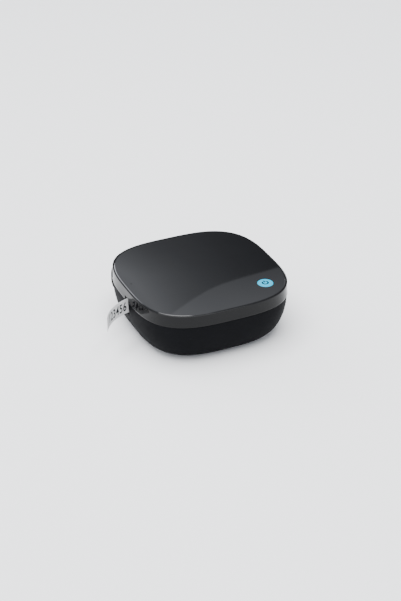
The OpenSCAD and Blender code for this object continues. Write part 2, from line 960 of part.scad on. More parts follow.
module tact_switch() {
    color("#17181a") {
        block(button_x - 3, button_y - 3, board_top, button_x + 3, button_y + 3, board_top + 2.4);
        rod([button_x, button_y], 1.7, board_top + 2.3, board_top + 3.6);
    }
}

module power_led() {
    color("#f2f6f8")
        for (s = [-1, 1])
            translate([button_x + s * 4.6, button_y, board_top])
                block(-0.8, -1, 0, 0.8, 1, 0.9);
}

module board_connectors() {
    color("#e6e3d8")
        for (y = [-42, -36.5])
            difference() {
                block(-13, y, board_top, -6, y + 3.6, board_top + 3);
                block(-12.4, y + 0.6, board_top + 0.6, -6.6, y + 3, board_top + 4);
            }
}

// ---- Lid ------------------------------------------------------------------------------------------------

module lid_shell() {
    barrel_top = hinge_z + knuckle_r + 0.4;
    barrel_spans = [[-30.7, -29], [-25.3, -16.7], [-13, 13], [16.7, 25.3], [29, 30.7]];
    color("#2f3134")
        difference() {
            union() {
                difference() {
                    slab(body_plan(0), lid_z, rim_z - 0.25);
                    slab(body_plan(lid_wall), lid_z - 1, shelf_z);
                    slab(body_plan(rim_w), seat_z, rim_z + 1);
                }
                rod([button_x, button_y], cup_r, cup_z, shelf_z + 0.2);
                // Catch tongue
                block(-6, -52.6, 34.4, 6, -51.4, shelf_z + 0.2);
                for (k = lid_knuckles) {
                    rod_x(hinge_y, hinge_z, knuckle_r, k[0], k[1]);
                    block(k[0], hinge_y - 1.4, hinge_z, k[1], half_d - 0.5, hinge_z + 4);
                }
            }
            // Way out for the label and for the cutter button
            block(-half_w - 2, slot_y0, part_z, -half_w + 4, slot_y1, slot_z1);
            block(-half_w - 2, pad_y0 - 0.9, part_z, -half_w + pad_room, pad_y1 + 0.4, pad_z1 + 0.4);
            // Rear wall stands clear of the fixed hinge barrel
            for (span = barrel_spans)
                block(span[0], hinge_y - 3, part_z, span[1], half_d + 3, barrel_top);
            rod_x(hinge_y, hinge_z, pin_r + pin_gap, -29.5, 29.5);
            rod([button_x, button_y], button_d / 2 + bore_gap, cup_z + 1, rim_z + 2);
            rod([button_x, button_y], guide_r + bore_gap, cup_z - 1, cup_z + 2);
        }
}

// Domed plate of the lid: rings go from round at the middle to the plan's shape at the edge, so the dome
// has no creases
module top_panel() {
    edge = 0.35;
    dome_rings = 7;
    hx = half_w - panel_inset;
    hy = half_d - panel_inset;
    rings = concat(
        [at_level(plan(hx, hy), seat_z), at_level(plan(hx, hy), rim_z - edge)],
        [
            for (i = [0 : dome_rings - 1])
                let (s = 1 - i / dome_rings, n = 2 + (plan_n - 2) * s)
                at_level(plan((hx - edge) * s, (hy - edge) * s, n), rim_z + crown_h * (1 - s * s))
        ]
    );
    color("#3c3e42")
        difference() {
            ring_stack(rings);
            rod([button_x, button_y], button_d / 2 + bore_gap, seat_z - 1, rim_z + 3);
        }
}

module hinge_pins() {
    color("#c8ccd0")
        for (s = [-1, 1])
            rod_x(hinge_y, hinge_z, pin_r, s * 21 - 8, s * 21 + 8);
}

// ---- Power button ---------------------------------------------------------------------------------------

module button_cap() {
    r = button_d / 2;
    color("#5fcfe8")
        difference() {
            translate([button_x, button_y, 0])
                rotate_extrude()
                    polygon([
                        [0, cap_z], [r, cap_z], [r, cap_edge_z - 0.2], [r - 0.2, cap_edge_z],
                        [r * 0.7, cap_edge_z + 0.14], [r * 0.35, cap_edge_z + 0.22], [0, cap_edge_z + 0.25]
                    ]);
            translate([button_x, button_y, 0])
                symbol_shape(cap_edge_z - 0.15, cap_edge_z + 2, 0.02);
        }
}

// Power symbol: a ring open at the rear, with a bar in the opening
module symbol_shape(z0, z1, grow = 0) {
    difference() {
        rod([0, 0], 2.45 + grow, z0, z1);
        rod([0, 0], 1.75 - grow, z0 - 1, z1 + 1);
        block(-0.95 + grow, 0, z0 - 1, 0.95 - grow, 4, z1 + 1);
    }
    block(-0.35 - grow, 0.5 - grow, z0, 0.35 + grow, 3.0 + grow, z1);
}

module power_symbol() {
    color("#0f3c4a")
        translate([button_x, button_y, 0])
            symbol_shape(cap_edge_z - 0.15, cap_edge_z + 0.2);
}

module light_guide() {
    color("#dfeff4")
        rod([button_x, button_y], guide_r, board_top + 3.6 + button_travel + 0.1, cap_z);
}

module button_clip() {
    color("#c8ccd0")
        difference() {
            rod([button_x, button_y], 3.6, cup_z - 0.9, cup_z - 0.1);
            rod([button_x, button_y], guide_r, 30, 40);
        }
}

module button_spring() {
    color("#c8ccd0")
        translate([button_x, button_y, cup_z + 1])
            coil(4.2, 0.2, cap_z - cup_z - 1, 3);
}

base_shell();
battery_cover();
rubber_feet();
chassis();
chassis_screws();
inner_cover();
cassette_well();
cover_screws();
aa_batteries();
battery_springs();
battery_contacts();
step_motor();
motor_screws();
motor_shaft();
drive_pinion();
idler_axles();
stepped_idler();
plain_idler();
gear_plate();
gear_plate_screws();
platen_gear();
platen_shaft();
platen_roller();
head_carrier();
thermal_head();
head_spring();
head_flex();
outlet_guide();
cutter_button();
cutter_carriage();
cutter_blade();
blade_rivets();
cutter_spring();
cassette_body();
cassette_cover();
tape_core();
tape_roll();
tape_strand();
printed_label();
main_board();
board_screws();
processor_chip();
radio_module();
tact_switch();
power_led();
board_connectors();
lid_shell();
top_panel();
hinge_pins();
button_cap();
power_symbol();
light_guide();
button_clip();
button_spring();
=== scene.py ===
"""Visual model of a compact label maker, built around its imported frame.

Every length in the classes below is in millimetres. Meshes are made in metres, in the frame's own axes: +Z up,
-Y front, and the label leaves on the -X side.
"""

import json
import logging
import math
from dataclasses import dataclass, field
from enum import Enum
from functools import cache
from typing import Any, Callable, Iterable, Optional, Sequence, Union

import bmesh
import bpy
import numpy as np
from mathutils import Matrix, Vector


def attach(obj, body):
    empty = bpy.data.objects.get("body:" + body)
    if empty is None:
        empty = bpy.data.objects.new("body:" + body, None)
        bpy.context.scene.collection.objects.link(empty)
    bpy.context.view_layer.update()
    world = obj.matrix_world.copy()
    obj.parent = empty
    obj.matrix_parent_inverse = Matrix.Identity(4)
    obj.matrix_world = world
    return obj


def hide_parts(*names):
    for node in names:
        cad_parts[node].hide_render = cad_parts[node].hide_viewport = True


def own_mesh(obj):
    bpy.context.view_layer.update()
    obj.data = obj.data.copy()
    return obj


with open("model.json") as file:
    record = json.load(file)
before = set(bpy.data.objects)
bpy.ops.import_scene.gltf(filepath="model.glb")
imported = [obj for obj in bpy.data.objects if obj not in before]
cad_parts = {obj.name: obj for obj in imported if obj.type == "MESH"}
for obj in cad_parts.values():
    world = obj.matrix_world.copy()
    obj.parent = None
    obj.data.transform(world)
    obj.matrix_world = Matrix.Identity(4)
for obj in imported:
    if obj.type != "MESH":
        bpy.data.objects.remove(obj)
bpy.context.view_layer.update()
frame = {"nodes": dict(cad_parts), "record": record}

log = logging.getLogger("label_maker")
logging.basicConfig(level=logging.INFO, format="%(message)s")

MM = 0.001
RING = 288
BROAD_PATCH, MIDDLING_PATCH = 22.0, 6.0
SMUDGED = (0.52, 0.75)
LEAST_ROUGH, COAT_ROUGH = 0.02, 0.05
PLASTIC_IOR = 1.5
MERGE = 2e-6
FLAT_ANGLE = 0.6
CARRIED_SHARP, CARRIED_EASED = 22, 45

Array = np.ndarray
Shape = tuple[Array, list[list[int]]]


# ---- Shader building -------------------------------------------------------------------------------------


class Link:
    """A node's output socket that takes part in arithmetic; each operation adds one Math node."""

    def __init__(self, tree: bpy.types.NodeTree, socket: bpy.types.NodeSocket) -> None:
        """Wrap one output socket.

        Args:
            tree: the node tree that the socket is in.
            socket: the output socket.
        """
        self.tree = tree
        self.socket = socket

    def math(self, operation: str, *values: Union["Link", float], clamp: bool = False) -> "Link":
        """Add a Math node.

        Args:
            operation: the Math node's operation.
            values: its inputs in order, links or numbers.
            clamp: whether the result is held between 0 and 1.

        Returns:
            The node's result.
        """
        node = self.tree.nodes.new("ShaderNodeMath")
        node.operation = operation
        node.use_clamp = clamp
        for i, value in enumerate(values):
            connect(self.tree, node.inputs[i], value)
        return Link(self.tree, node.outputs[0])

    def __add__(self, other: Union["Link", float]) -> "Link":
        """Sum."""
        return self.math("ADD", self, other)

    __radd__ = __add__

    def __mul__(self, other: Union["Link", float]) -> "Link":
        """Product."""
        return self.math("MULTIPLY", self, other)

    __rmul__ = __mul__

    def __sub__(self, other: Union["Link", float]) -> "Link":
        """Difference."""
        return self.math("SUBTRACT", self, other)

    def __rsub__(self, other: float) -> "Link":
        """Difference from a number."""
        return self.math("SUBTRACT", other, self)

    def __truediv__(self, other: Union["Link", float]) -> "Link":
        """Quotient."""
        return self.math("DIVIDE", self, other)

    def __pow__(self, other: float) -> "Link":
        """Power."""
        return self.math("POWER", self, other)

    def __abs__(self) -> "Link":
        """Magnitude."""
        return self.math("ABSOLUTE", self)

    def above(self, limit: Union["Link", float]) -> "Link":
        """1 where the value is above the limit, else 0."""
        return self.math("GREATER_THAN", self, limit)

    def between(self, low: float, high: float) -> "Link":
        """1 where the value is between two numbers, else 0."""
        return self.above(low) * (1 - self.above(high))

    def ramp(self, low: float, high: float) -> "Link":
        """0 at low, 1 at high, and clamped outside."""
        return self.math("MULTIPLY", self - low, 1 / (high - low), clamp=True)


Input = Union[Link, float, Sequence[float]]


def connect(tree: bpy.types.NodeTree, socket: bpy.types.NodeSocket, value: Input) -> None:
    """Link a value to an input socket, or set the socket to a number or colour.

    Args:
        tree: the node tree.
        socket: the input socket.
        value: a link, a number, or a colour or vector.
    """
    if isinstance(value, Link):
        tree.links.new(value.socket, socket)
    elif isinstance(value, (int, float)):
        socket.default_value = value
    else:
        value = tuple(value)
        size = len(socket.default_value)
        socket.default_value = value + (1.0,) * (size - len(value))


class Shader:
    """The node tree of one material or of the world."""

    def __init__(self, tree: bpy.types.NodeTree) -> None:
        """Clear the tree and keep it."""
        self.tree = tree
        tree.nodes.clear()

    def node(
        self,
        kind: str,
        settings: Optional[dict[str, Any]] = None,
        inputs: Optional[dict[Union[str, int], Input]] = None,
        out: Union[str, int] = 0,
    ) -> Link:
        """Add any node.

        Args:
            kind: the node's type.
            settings: its properties, set first.
            inputs: values or links, by socket name or number.
            out: the output that is returned.

        Returns:
            The chosen output.
        """
        made = self.tree.nodes.new(kind)
        for key, value in (settings or {}).items():
            setattr(made, key, value)
        for key, value in (inputs or {}).items():
            connect(self.tree, made.inputs[key], value)
        return Link(self.tree, made.outputs[out] if made.outputs else None)

    def place(self) -> Link:
        """Object coordinates, in metres."""
        return self.node("ShaderNodeTexCoord", out="Object")

    def axes(self, vector: Link) -> tuple[Link, Link, Link]:
        """Take a vector apart.

        Args:
            vector: the vector.

        Returns:
            Its X, Y and Z.
        """
        made = self.node("ShaderNodeSeparateXYZ", inputs={0: vector})
        x, y, z = made.socket.node.outputs
        return Link(self.tree, x), Link(self.tree, y), Link(self.tree, z)

    def stretched(self, vector: Link, scale: Sequence[float]) -> Link:
        """A vector scaled along each axis."""
        return self.node("ShaderNodeMapping", inputs={"Vector": vector, "Scale": scale})

    def from_axis(self, x: Link, y: Link, centre: tuple[float, float]) -> Link:
        """Distance from an upright axis; its place is in millimetres."""
        dx, dy = x - centre[0] * MM, y - centre[1] * MM
        return (dx * dx + dy * dy) ** 0.5

    def noise(self, vector: Link, scale: float, detail: float = 2.0) -> Link:
        """Fractal noise from 0 to 1."""
        settings = {"noise_dimensions": "3D"}
        return self.node("ShaderNodeTexNoise", settings, {"Vector": vector, "Scale": scale, "Detail": detail})

    def mix(self, factor: Input, a: Input, b: Input) -> Link:
        """Blend two colours.

        Args:
            factor: 0 for the first, 1 for the second.
            a: the first colour.
            b: the second colour.

        Returns:
            The blend.
        """
        made = self.node("ShaderNodeMix", {"data_type": "RGBA"})
        node = made.socket.node
        connect(self.tree, node.inputs[0], factor)
        connect(self.tree, node.inputs[6], a)
        connect(self.tree, node.inputs[7], b)
        return Link(self.tree, node.outputs[2])

    def bump(self, height: Link, depth: float) -> Link:
        """Normal of a surface with small heights, whose depth is in millimetres."""
        return self.node("ShaderNodeBump", inputs={"Height": height, "Distance": depth * MM})

    def principled(self, **inputs: Input) -> None:
        """Finish the material with one Principled shader.

        Args:
            inputs: socket values or links, by socket name with spaces as underscores.
        """
        named = {key.replace("_", " "): value for key, value in inputs.items()}
        surface = self.node("ShaderNodeBsdfPrincipled", inputs=named)
        self.node("ShaderNodeOutputMaterial", inputs={"Surface": surface})


Colour = tuple[float, float, float]


class Grain(Enum):
    """How a surface's fine texture runs."""

    EVEN = (1.0, 1.0, 1.0)
    ALONG_X = (0.03, 1.0, 1.0)
    ALONG_Y = (1.0, 0.03, 1.0)
    ALONG_Z = (1.0, 1.0, 0.03)


@dataclass(frozen=True)
class Finish:
    """A plain surface finish: one colour that drifts a little, and a grain that also moves the roughness."""

    name: str
    colour: Colour
    roughness: float
    metallic: float = 0.0
    specular: float = 0.5
    coat: float = 0.0
    grain: Grain = Grain.EVEN
    grain_size: float = 0.25
    grain_depth: float = 0.006
    drift: float = 0.12
    rough_drift: float = 0.08
    smudge: float = 0.0

    @cache
    def material(self) -> bpy.types.Material:
        """Build the material once.

        Returns:
            The material. Its colour drifts with broad noise, its roughness with middling noise, and its normal
            with the grain.
        """
        made = bpy.data.materials.new(self.name)
        made.use_nodes = True
        shader = Shader(made.node_tree)
        place = shader.place()
        broad = shader.noise(place, 1 / (BROAD_PATCH * MM), 3)
        fine = shader.noise(shader.stretched(place, self.grain.value), 1 / (self.grain_size * MM), 3)
        spread = (broad - 0.5) * (2 * self.drift) + (fine - 0.5) * self.drift
        dark = tuple(c * 0.5 for c in self.colour)
        light = tuple(min(1.0, c * 1.5) for c in self.colour)
        colour = shader.mix(spread.math("ADD", spread, 0.5, clamp=True), dark, light)
        middle = shader.noise(place, 1 / (MIDDLING_PATCH * MM), 4)
        rough = (middle - 0.5) * (2 * self.rough_drift) + self.roughness
        if self.smudge:
            rough = rough + middle.ramp(*SMUDGED) * self.smudge
        shader.principled(
            Base_Color=colour,
            Roughness=rough.math("MAXIMUM", rough, LEAST_ROUGH),
            Metallic=self.metallic,
            Specular_IOR_Level=self.specular,
            IOR=PLASTIC_IOR,
            Coat_Weight=self.coat,
            Coat_Roughness=COAT_ROUGH,
            Normal=shader.bump(fine, self.grain_depth),
        )
        return made


BASE_BLACK = Finish("matt_black", (0.0042, 0.0044, 0.0052), 0.6, specular=0.03, grain_size=0.22, grain_depth=0.012)
GLOSS_BAND = Finish(
    "gloss_dark_grey", (0.0024, 0.0025, 0.0028), 0.06, specular=0.17, grain_size=3, grain_depth=0.0008,
    rough_drift=0.01, smudge=0.02,
)
GLOSS_PANEL = Finish(
    "gloss_top_grey", (0.0054, 0.0056, 0.0063), 0.022, grain_size=3, grain_depth=0.0003, rough_drift=0.008,
    smudge=0.01,
)
DECK = Finish("deck_plastic", (0.03, 0.031, 0.034), 0.5, grain_size=0.3, grain_depth=0.01)
INNER = Finish("inner_plastic", (0.02, 0.021, 0.0235), 0.46, grain_size=0.2, grain_depth=0.012)
RUBBER = Finish("foot_rubber", (0.016, 0.016, 0.017), 0.8, specular=0.3, grain_size=0.15, grain_depth=0.02)
ROLLER = Finish("ground_rubber", (0.03, 0.03, 0.031), 0.65, specular=0.3, grain=Grain.ALONG_Z, grain_depth=0.015)
CUTTER_BLACK = Finish(
    "cutter_black", (0.0018, 0.002, 0.0024), 0.6, specular=0.02, grain_size=0.22, grain_depth=0.01
)
WHITE_GEAR = Finish("white_acetal", (0.72, 0.71, 0.66), 0.38, grain_size=0.6, grain_depth=0.004, drift=0.05)
STEEL = Finish("turned_steel", (0.56, 0.57, 0.59), 0.26, 1.0, grain=Grain.ALONG_Z, grain_size=0.1)
PLATE = Finish("rolled_plate", (0.5, 0.51, 0.53), 0.36, 1.0, grain=Grain.ALONG_Y, grain_size=0.12)
NICKEL = Finish("nickel_strip", (0.66, 0.64, 0.6), 0.25, 1.0, grain=Grain.ALONG_Z, grain_size=0.15)
ZINC = Finish("zinc_screw", (0.5, 0.51, 0.54), 0.3, 1.0, grain_size=0.3)
WIRE = Finish("spring_wire", (0.55, 0.56, 0.58), 0.24, 1.0, grain_size=0.2, grain_depth=0.003)
BLADE = Finish("ground_blade", (0.63, 0.64, 0.66), 0.18, 1.0, grain=Grain.ALONG_Y, grain_size=0.06)
MOTOR_CAN = Finish("plated_can", (0.42, 0.43, 0.45), 0.33, 1.0, grain=Grain.ALONG_Z, grain_size=0.4)
BRASS = Finish("machined_brass", (0.66, 0.47, 0.18), 0.28, 1.0, grain=Grain.ALONG_Z, grain_size=0.08)
ALUMINIUM = Finish("extruded_aluminium", (0.62, 0.63, 0.65), 0.36, 1.0, grain=Grain.ALONG_Z, grain_size=0.09)
FLEX = Finish("amber_film", (0.42, 0.17, 0.03), 0.25, coat=0.6, grain=Grain.ALONG_Y, grain_size=0.4)
SHELL_GREY = Finish("cassette_grey", (0.5, 0.5, 0.49), 0.45, grain_size=0.25, grain_depth=0.01, drift=0.06)
SHELL_LIGHT = Finish("cassette_light", (0.66, 0.66, 0.64), 0.42, grain_size=0.25, grain_depth=0.01, drift=0.06)
CORE = Finish("core_grey", (0.42, 0.43, 0.46), 0.45, grain_size=0.25, grain_depth=0.008)
PAPER = Finish(
    "label_paper", (0.80, 0.80, 0.78), 0.55, specular=0.35, grain_size=0.09, grain_depth=0.004, drift=0.03
)
INK = Finish("thermal_black", (0.012, 0.012, 0.014), 0.5, specular=0.3, grain_size=0.06, grain_depth=0.002)
CHIP = Finish("moulded_black", (0.012, 0.012, 0.014), 0.5, grain_size=0.12, grain_depth=0.01)
TIN = Finish("tinned_can", (0.6, 0.61, 0.62), 0.3, 1.0, grain=Grain.ALONG_X, grain_size=0.2)
IVORY = Finish("connector_ivory", (0.68, 0.64, 0.52), 0.42, grain_size=0.3)
TEAL = Finish("symbol_teal", (0.0006, 0.012, 0.021), 0.4, specular=0.15, grain_size=0.3, grain_depth=0.002)


class SpecialFinish:
    """Finishes whose colour follows the piece's own form."""

    @staticmethod
    def start(name: str) -> tuple[bpy.types.Material, Shader]:
        """Begin a material.

        Args:
            name: its name.

        Returns:
            The material and its empty shader.
        """
        made = bpy.data.materials.new(name)
        made.use_nodes = True
        return made, Shader(made.node_tree)

    @classmethod
    def lit_button(cls, centre: tuple[float, float], radius: float) -> bpy.types.Material:
        """Cyan cap lit from below: brightest at its middle, a little darker at its rim.

        Args:
            centre: the button's axis in plan.
            radius: the button's radius.

        Returns:
            The material.
        """
        made, shader = cls.start("lit_cyan")
        x, y, _ = shader.axes(shader.place())
        out = shader.from_axis(x, y, centre) / (radius * MM)
        glow = 1 - out.ramp(0.55, 1.0) * 0.35
        haze = shader.noise(shader.place(), 1 / (1.4 * MM), 3)
        colour = shader.mix(glow * (0.94 + haze * 0.1), (0.0, 0.06, 0.10), (0.0, 0.11, 0.19))
        light = shader.mix(glow, (0.0, 0.36, 0.52), (0.0, 0.66, 1.0))
        shader.principled(
            Base_Color=colour, Roughness=0.3 + haze * 0.1, Emission_Color=light, Emission_Strength=1.0,
            Specular_IOR_Level=0.25,
        )
        return made

    @classmethod
    def cell_jacket(cls) -> bpy.types.Material:
        """Printed foil jacket: copper-coloured at the positive end, black over the rest, bare metal at the ends.

        Returns:
            The material, for the cells' own "along" attribute: 0 at the flat end, 1 at the nub.
        """
        made, shader = cls.start("cell_jacket")
        along = shader.node("ShaderNodeAttribute", {"attribute_name": "along"}, out="Fac")
        scuff = shader.noise(shader.stretched(shader.place(), (1, 0.1, 1)), 1 / (0.5 * MM), 4)
        wobble = along + (scuff - 0.5) * 0.0006
        copper = wobble.above(0.70)
        ring = wobble.between(0.685, 0.70)
        metal = 1 - wobble.between(0.022, 0.955)
        colour = shader.mix(copper, (0.012, 0.012, 0.013), (0.62, 0.33, 0.13))
        colour = shader.mix(ring, colour, (0.7, 0.7, 0.68))
        colour = shader.mix(metal, colour, (0.7, 0.69, 0.66))
        shader.principled(
            Base_Color=colour,
            Metallic=copper.math("MAXIMUM", copper, metal),
            Roughness=0.27 + scuff * 0.14,
            Coat_Weight=(1 - metal) * 0.7,
            Normal=shader.bump(scuff, 0.003),
        )
        return made

    @classmethod
    def wound_tape(cls, centre: tuple[float, float], inner: float) -> bpy.types.Material:
        """Side of a wound roll: fine rings where the turns lie on each other, some a little yellower.

        Args:
            centre: the roll's axis in plan.
            inner: the core's radius.

        Returns:
            The material.
        """
        made, shader = cls.start("wound_tape")
        place = shader.place()
        x, y, _ = shader.axes(place)
        turn = (shader.from_axis(x, y, centre) - inner * MM) / (0.2 * MM)
        saw = turn.math("FRACT", turn)
        groove = saw.ramp(0.7, 1.0)
        tone = shader.node("ShaderNodeTexWhiteNoise", {"noise_dimensions": "1D"}, {"W": turn.math("FLOOR", turn)})
        colour = shader.mix(tone * 0.5 + groove * 0.3, (0.82, 0.815, 0.79), (0.66, 0.64, 0.57))
        shader.principled(
            Base_Color=colour, Roughness=0.6 + tone * 0.1, Normal=shader.bump(1 - groove, 0.03)
        )
        return made

    @classmethod
    def circuit_board(cls) -> bpy.types.Material:
        """Green solder mask over copper tracks and pads, with bare edges of glass fibre.

        Returns:
            The material.
        """
        made, shader = cls.start("solder_mask")
        place = shader.place()
        cell = {"Vector": shader.stretched(place, (1, 1, 0)), "Scale": 1 / (1.6 * MM)}
        brick = shader.node(
            "ShaderNodeTexBrick", {"offset": 0.35}, {**cell, "Mortar Size": 0.07, "Brick Width": 2.6}, out="Fac"
        )
        dots = shader.node("ShaderNodeTexVoronoi", {}, {**cell, "Scale": 1 / (3.1 * MM)}, out="Distance")
        pad = 1 - dots.above(0.13)
        fine = shader.noise(place, 1 / (0.3 * MM), 3)
        colour = shader.mix(brick, (0.006, 0.07, 0.03), (0.012, 0.125, 0.05))
        colour = shader.mix(pad, colour, (0.75, 0.73, 0.68))
        shader.principled(
            Base_Color=colour, Metallic=pad, Roughness=0.3 + fine * 0.12, Coat_Weight=(1 - pad) * 0.4,
            Normal=shader.bump(brick + fine * 0.2, 0.03),
        )
        return made

    @classmethod
    def head_ceramic(cls, x0: float, x1: float) -> bpy.types.Material:
        """Glazed ceramic with the dark line of print dots along its middle.

        Args:
            x0: the left end of the head.
            x1: the right end of the head.

        Returns:
            The material.
        """
        made, shader = cls.start("head_ceramic")
        place = shader.place()
        x, _, z = shader.axes(place)
        middle = abs(x - (x0 + x1) / 2 * MM)
        line = 1 - middle.above(0.35 * MM)
        dots = z.math("SINE", z * (math.pi / (0.125 * MM)))
        fine = shader.noise(place, 1 / (0.4 * MM), 3)
        track = shader.noise(shader.stretched(place, (1, 1, 0.04)), 1 / (0.2 * MM), 2).above(0.56)
        colour = shader.mix(track * 0.35, (0.78, 0.76, 0.7), (0.5, 0.42, 0.25))
        colour = shader.mix(line * (0.75 + dots * 0.2), colour, (0.06, 0.045, 0.04))
        shader.principled(
            Base_Color=colour, Roughness=0.2 + fine * 0.15, Coat_Weight=0.5,
            Normal=shader.bump(fine + line, 0.01),
        )
        return made

    @classmethod
    def clear_guide(cls) -> bpy.types.Material:
        """Clear light guide with a faint frosting.

        Returns:
            The material.
        """
        made, shader = cls.start("clear_guide")
        fine = shader.noise(shader.place(), 1 / (0.8 * MM), 3)
        shader.principled(
            Base_Color=shader.mix(fine, (0.8, 0.92, 0.96), (0.9, 0.97, 1.0)),
            Roughness=0.08 + fine * 0.15,
            Transmission_Weight=0.85,
            IOR=1.49,
        )
        return made

    @classmethod
    def lamp(cls) -> bpy.types.Material:
        """White lamp with a soft cyan glow.

        Returns:
            The material.
        """
        made, shader = cls.start("lamp_lens")
        fine = shader.noise(shader.place(), 1 / (0.5 * MM), 2)
        shader.principled(
            Base_Color=shader.mix(fine, (0.8, 0.9, 0.92), (0.9, 0.97, 1.0)),
            Roughness=0.2 + fine * 0.1,
            Emission_Color=(0.3, 0.85, 1.0),
            Emission_Strength=2.0,
        )
        return made


# ---- Mesh building ---------------------------------------------------------------------------------------


def grid_faces(rows: int, columns: int) -> list[list[int]]:
    """Quads between closed rows of points; they face outwards when the rows run anticlockwise and upwards.

    Args:
        rows: how many rows there are.
        columns: how many points each row has.

    Returns:
        The faces.
    """
    r = np.arange(rows - 1)[:, None]
    c = np.arange(columns)[None, :]
    n = (c + 1) % columns
    faces = np.stack([r * columns + c, r * columns + n, (r + 1) * columns + n, (r + 1) * columns + c], -1)
    return faces.reshape(-1, 4).tolist()


def tube(rings: Array) -> Shape:
    """Closed solid through rings of points, with a flat face over each end.

    Args:
        rings: points, as rings by points by 3, in millimetres.

    Returns:
        The shape.
    """
    count, columns = rings.shape[:2]
    faces = grid_faces(count, columns)
    faces.append(list(range(columns))[::-1])
    faces.append([(count - 1) * columns + i for i in range(columns)])
    return rings.reshape(-1, 3) * MM, faces


def lathe(profile: Sequence[tuple[float, float]], sides: int = 96) -> Shape:
    """Solid turned about Z from a profile of (radius, height), from the bottom's axis round to the top's.

    Each point of the profile makes a ring of radius r: x = r cos t, y = r sin t. A radius of 0 makes one pole.

    Args:
        profile: radii and heights in millimetres; the first and last radius are 0.
        sides: how many points a ring has.

    Returns:
        The shape.
    """
    inner = np.array(profile[1:-1], float)
    t = np.linspace(0, 2 * math.pi, sides, endpoint=False)
    rings = np.empty((len(inner), sides, 3))
    rings[..., 0] = inner[:, :1] * np.cos(t)
    rings[..., 1] = inner[:, :1] * np.sin(t)
    rings[..., 2] = inner[:, 1:]
    verts = np.vstack([rings.reshape(-1, 3), [[0, 0, profile[0][1]], [0, 0, profile[-1][1]]]])
    faces = grid_faces(len(inner), sides)
    low, high = len(verts) - 2, len(verts) - 1
    k = np.arange(sides)
    n = (k + 1) % sides
    top = (len(inner) - 1) * sides
    faces += np.stack([np.full(sides, low), n, k], 1).tolist()
    faces += np.stack([np.full(sides, high), k + top, n + top], 1).tolist()
    return verts * MM, faces


def prism(outline: Sequence[Sequence[float]], z0: float, z1: float) -> Shape:
    """Upright solid on an outline given anticlockwise.

    Args:
        outline: points in plan.
        z0: its lower level.
        z1: its upper level.

    Returns:
        The shape.
    """
    flat = np.array(outline, float)
    rings = np.stack([np.column_stack([flat, np.full(len(flat), z)]) for z in (z0, z1)])
    return tube(rings)


def box(x0: float, y0: float, z0: float, x1: float, y1: float, z1: float) -> Shape:
    """Upright block from one corner to the other."""
    return prism([(x0, y0), (x1, y0), (x1, y1), (x0, y1)], z0, z1)


def turned_to(shape: Shape, columns: Sequence[Sequence[float]], at: Sequence[float]) -> Shape:
    """The shape with its axes turned to new directions, then moved.

    Args:
        shape: the shape.
        columns: where its X, Y and Z axes go; right-handed.
        at: the shift in millimetres.

    Returns:
        The new shape.
    """
    verts, faces = shape
    return verts @ np.array(columns, float) + np.array(at, float) * MM, faces


UPRIGHT = ((1, 0, 0), (0, 1, 0), (0, 0, 1))
TO_X = ((0, 1, 0), (0, 0, 1), (1, 0, 0))
TO_Y = ((0, 0, 1), (1, 0, 0), (0, 1, 0))


def rod(
    r: float, length: float, at: Sequence[float], columns: Sequence[Sequence[float]] = UPRIGHT, sides: int = 64
) -> Shape:
    """Plain round bar, used to cut or to join."""
    return turned_to(lathe([(0, 0), (r, 0), (r, length), (0, length)], sides), columns, at)


def joined(shapes: Iterable[Shape]) -> Shape:
    """Put several shapes into one.

    Args:
        shapes: the shapes.

    Returns:
        One shape.
    """
    verts, faces, count = [], [], 0
    for part_verts, part_faces in shapes:
        verts.append(part_verts)
        faces += [[i + count for i in face] for face in part_faces]
        count += len(part_verts)
    return np.vstack(verts), faces


def add_object(name: str, data: Optional[bpy.types.ID]) -> bpy.types.Object:
    """Add an object to the scene, at the origin.

    Args:
        name: its name.
        data: its mesh, text, lamp or camera.

    Returns:
        The object.
    """
    made = bpy.data.objects.new(name, data)
    bpy.context.scene.collection.objects.link(made)
    return made


def add_shape(name: str, shape: Shape) -> bpy.types.Object:
    """Add a shape to the scene.

    Args:
        name: the object's name, and its mesh's.
        shape: the shape.

    Returns:
        The object.
    """
    verts, faces = shape
    mesh = bpy.data.meshes.new(name)
    mesh.from_pydata(verts.tolist(), [], faces)
    mesh.update()
    return add_object(name, mesh)


class Step(Enum):
    """How a shape changes another."""

    CUT = "DIFFERENCE"
    ADD = "UNION"


def worked(name: str, shape: Shape, steps: Sequence[tuple[Step, Shape]]) -> bpy.types.Object:
    """A shape that others have cut or joined, one after another.

    Args:
        name: the new object's name.
        shape: what it starts from.
        steps: each change and the shape that makes it; every shape is closed.

    Returns:
        The finished object.
    """
    made = add_shape(name, shape)
    for step, tool_shape in steps:
        tool = add_shape("tool", tool_shape)
        change = made.modifiers.new("change", "BOOLEAN")
        change.operation = step.value
        change.solver = "EXACT"
        change.object = tool
        graph = bpy.context.evaluated_depsgraph_get()
        result = bpy.data.meshes.new_from_object(made.evaluated_get(graph))
        made.modifiers.clear()
        old, made.data = made.data, result
        bpy.data.meshes.remove(old)
        tool_mesh = tool.data
        bpy.data.objects.remove(tool)
        bpy.data.meshes.remove(tool_mesh)
    made.data.name = name
    return made


def smoothed(made: bpy.types.Object, angle: float = 32.0) -> None:
    """Shade smoothly, with edges sharper than an angle kept crisp."""
    made.data.shade_smooth()
    made.data.set_sharp_from_angle(angle=math.radians(angle))


def bevelled(made: bpy.types.Object, width: float, segments: int, angle: float) -> None:
    """Round a piece's edges.

    Args:
        made: the piece.
        width: the bevel's width in millimetres.
        segments: how many faces it has across.
        angle: the least angle of an edge that is rounded, in degrees.
    """
    bevel = made.modifiers.new("edges", "BEVEL")
    bevel.width = width * MM
    bevel.segments = segments
    bevel.limit_method = "ANGLE"
    bevel.angle_limit = math.radians(angle)


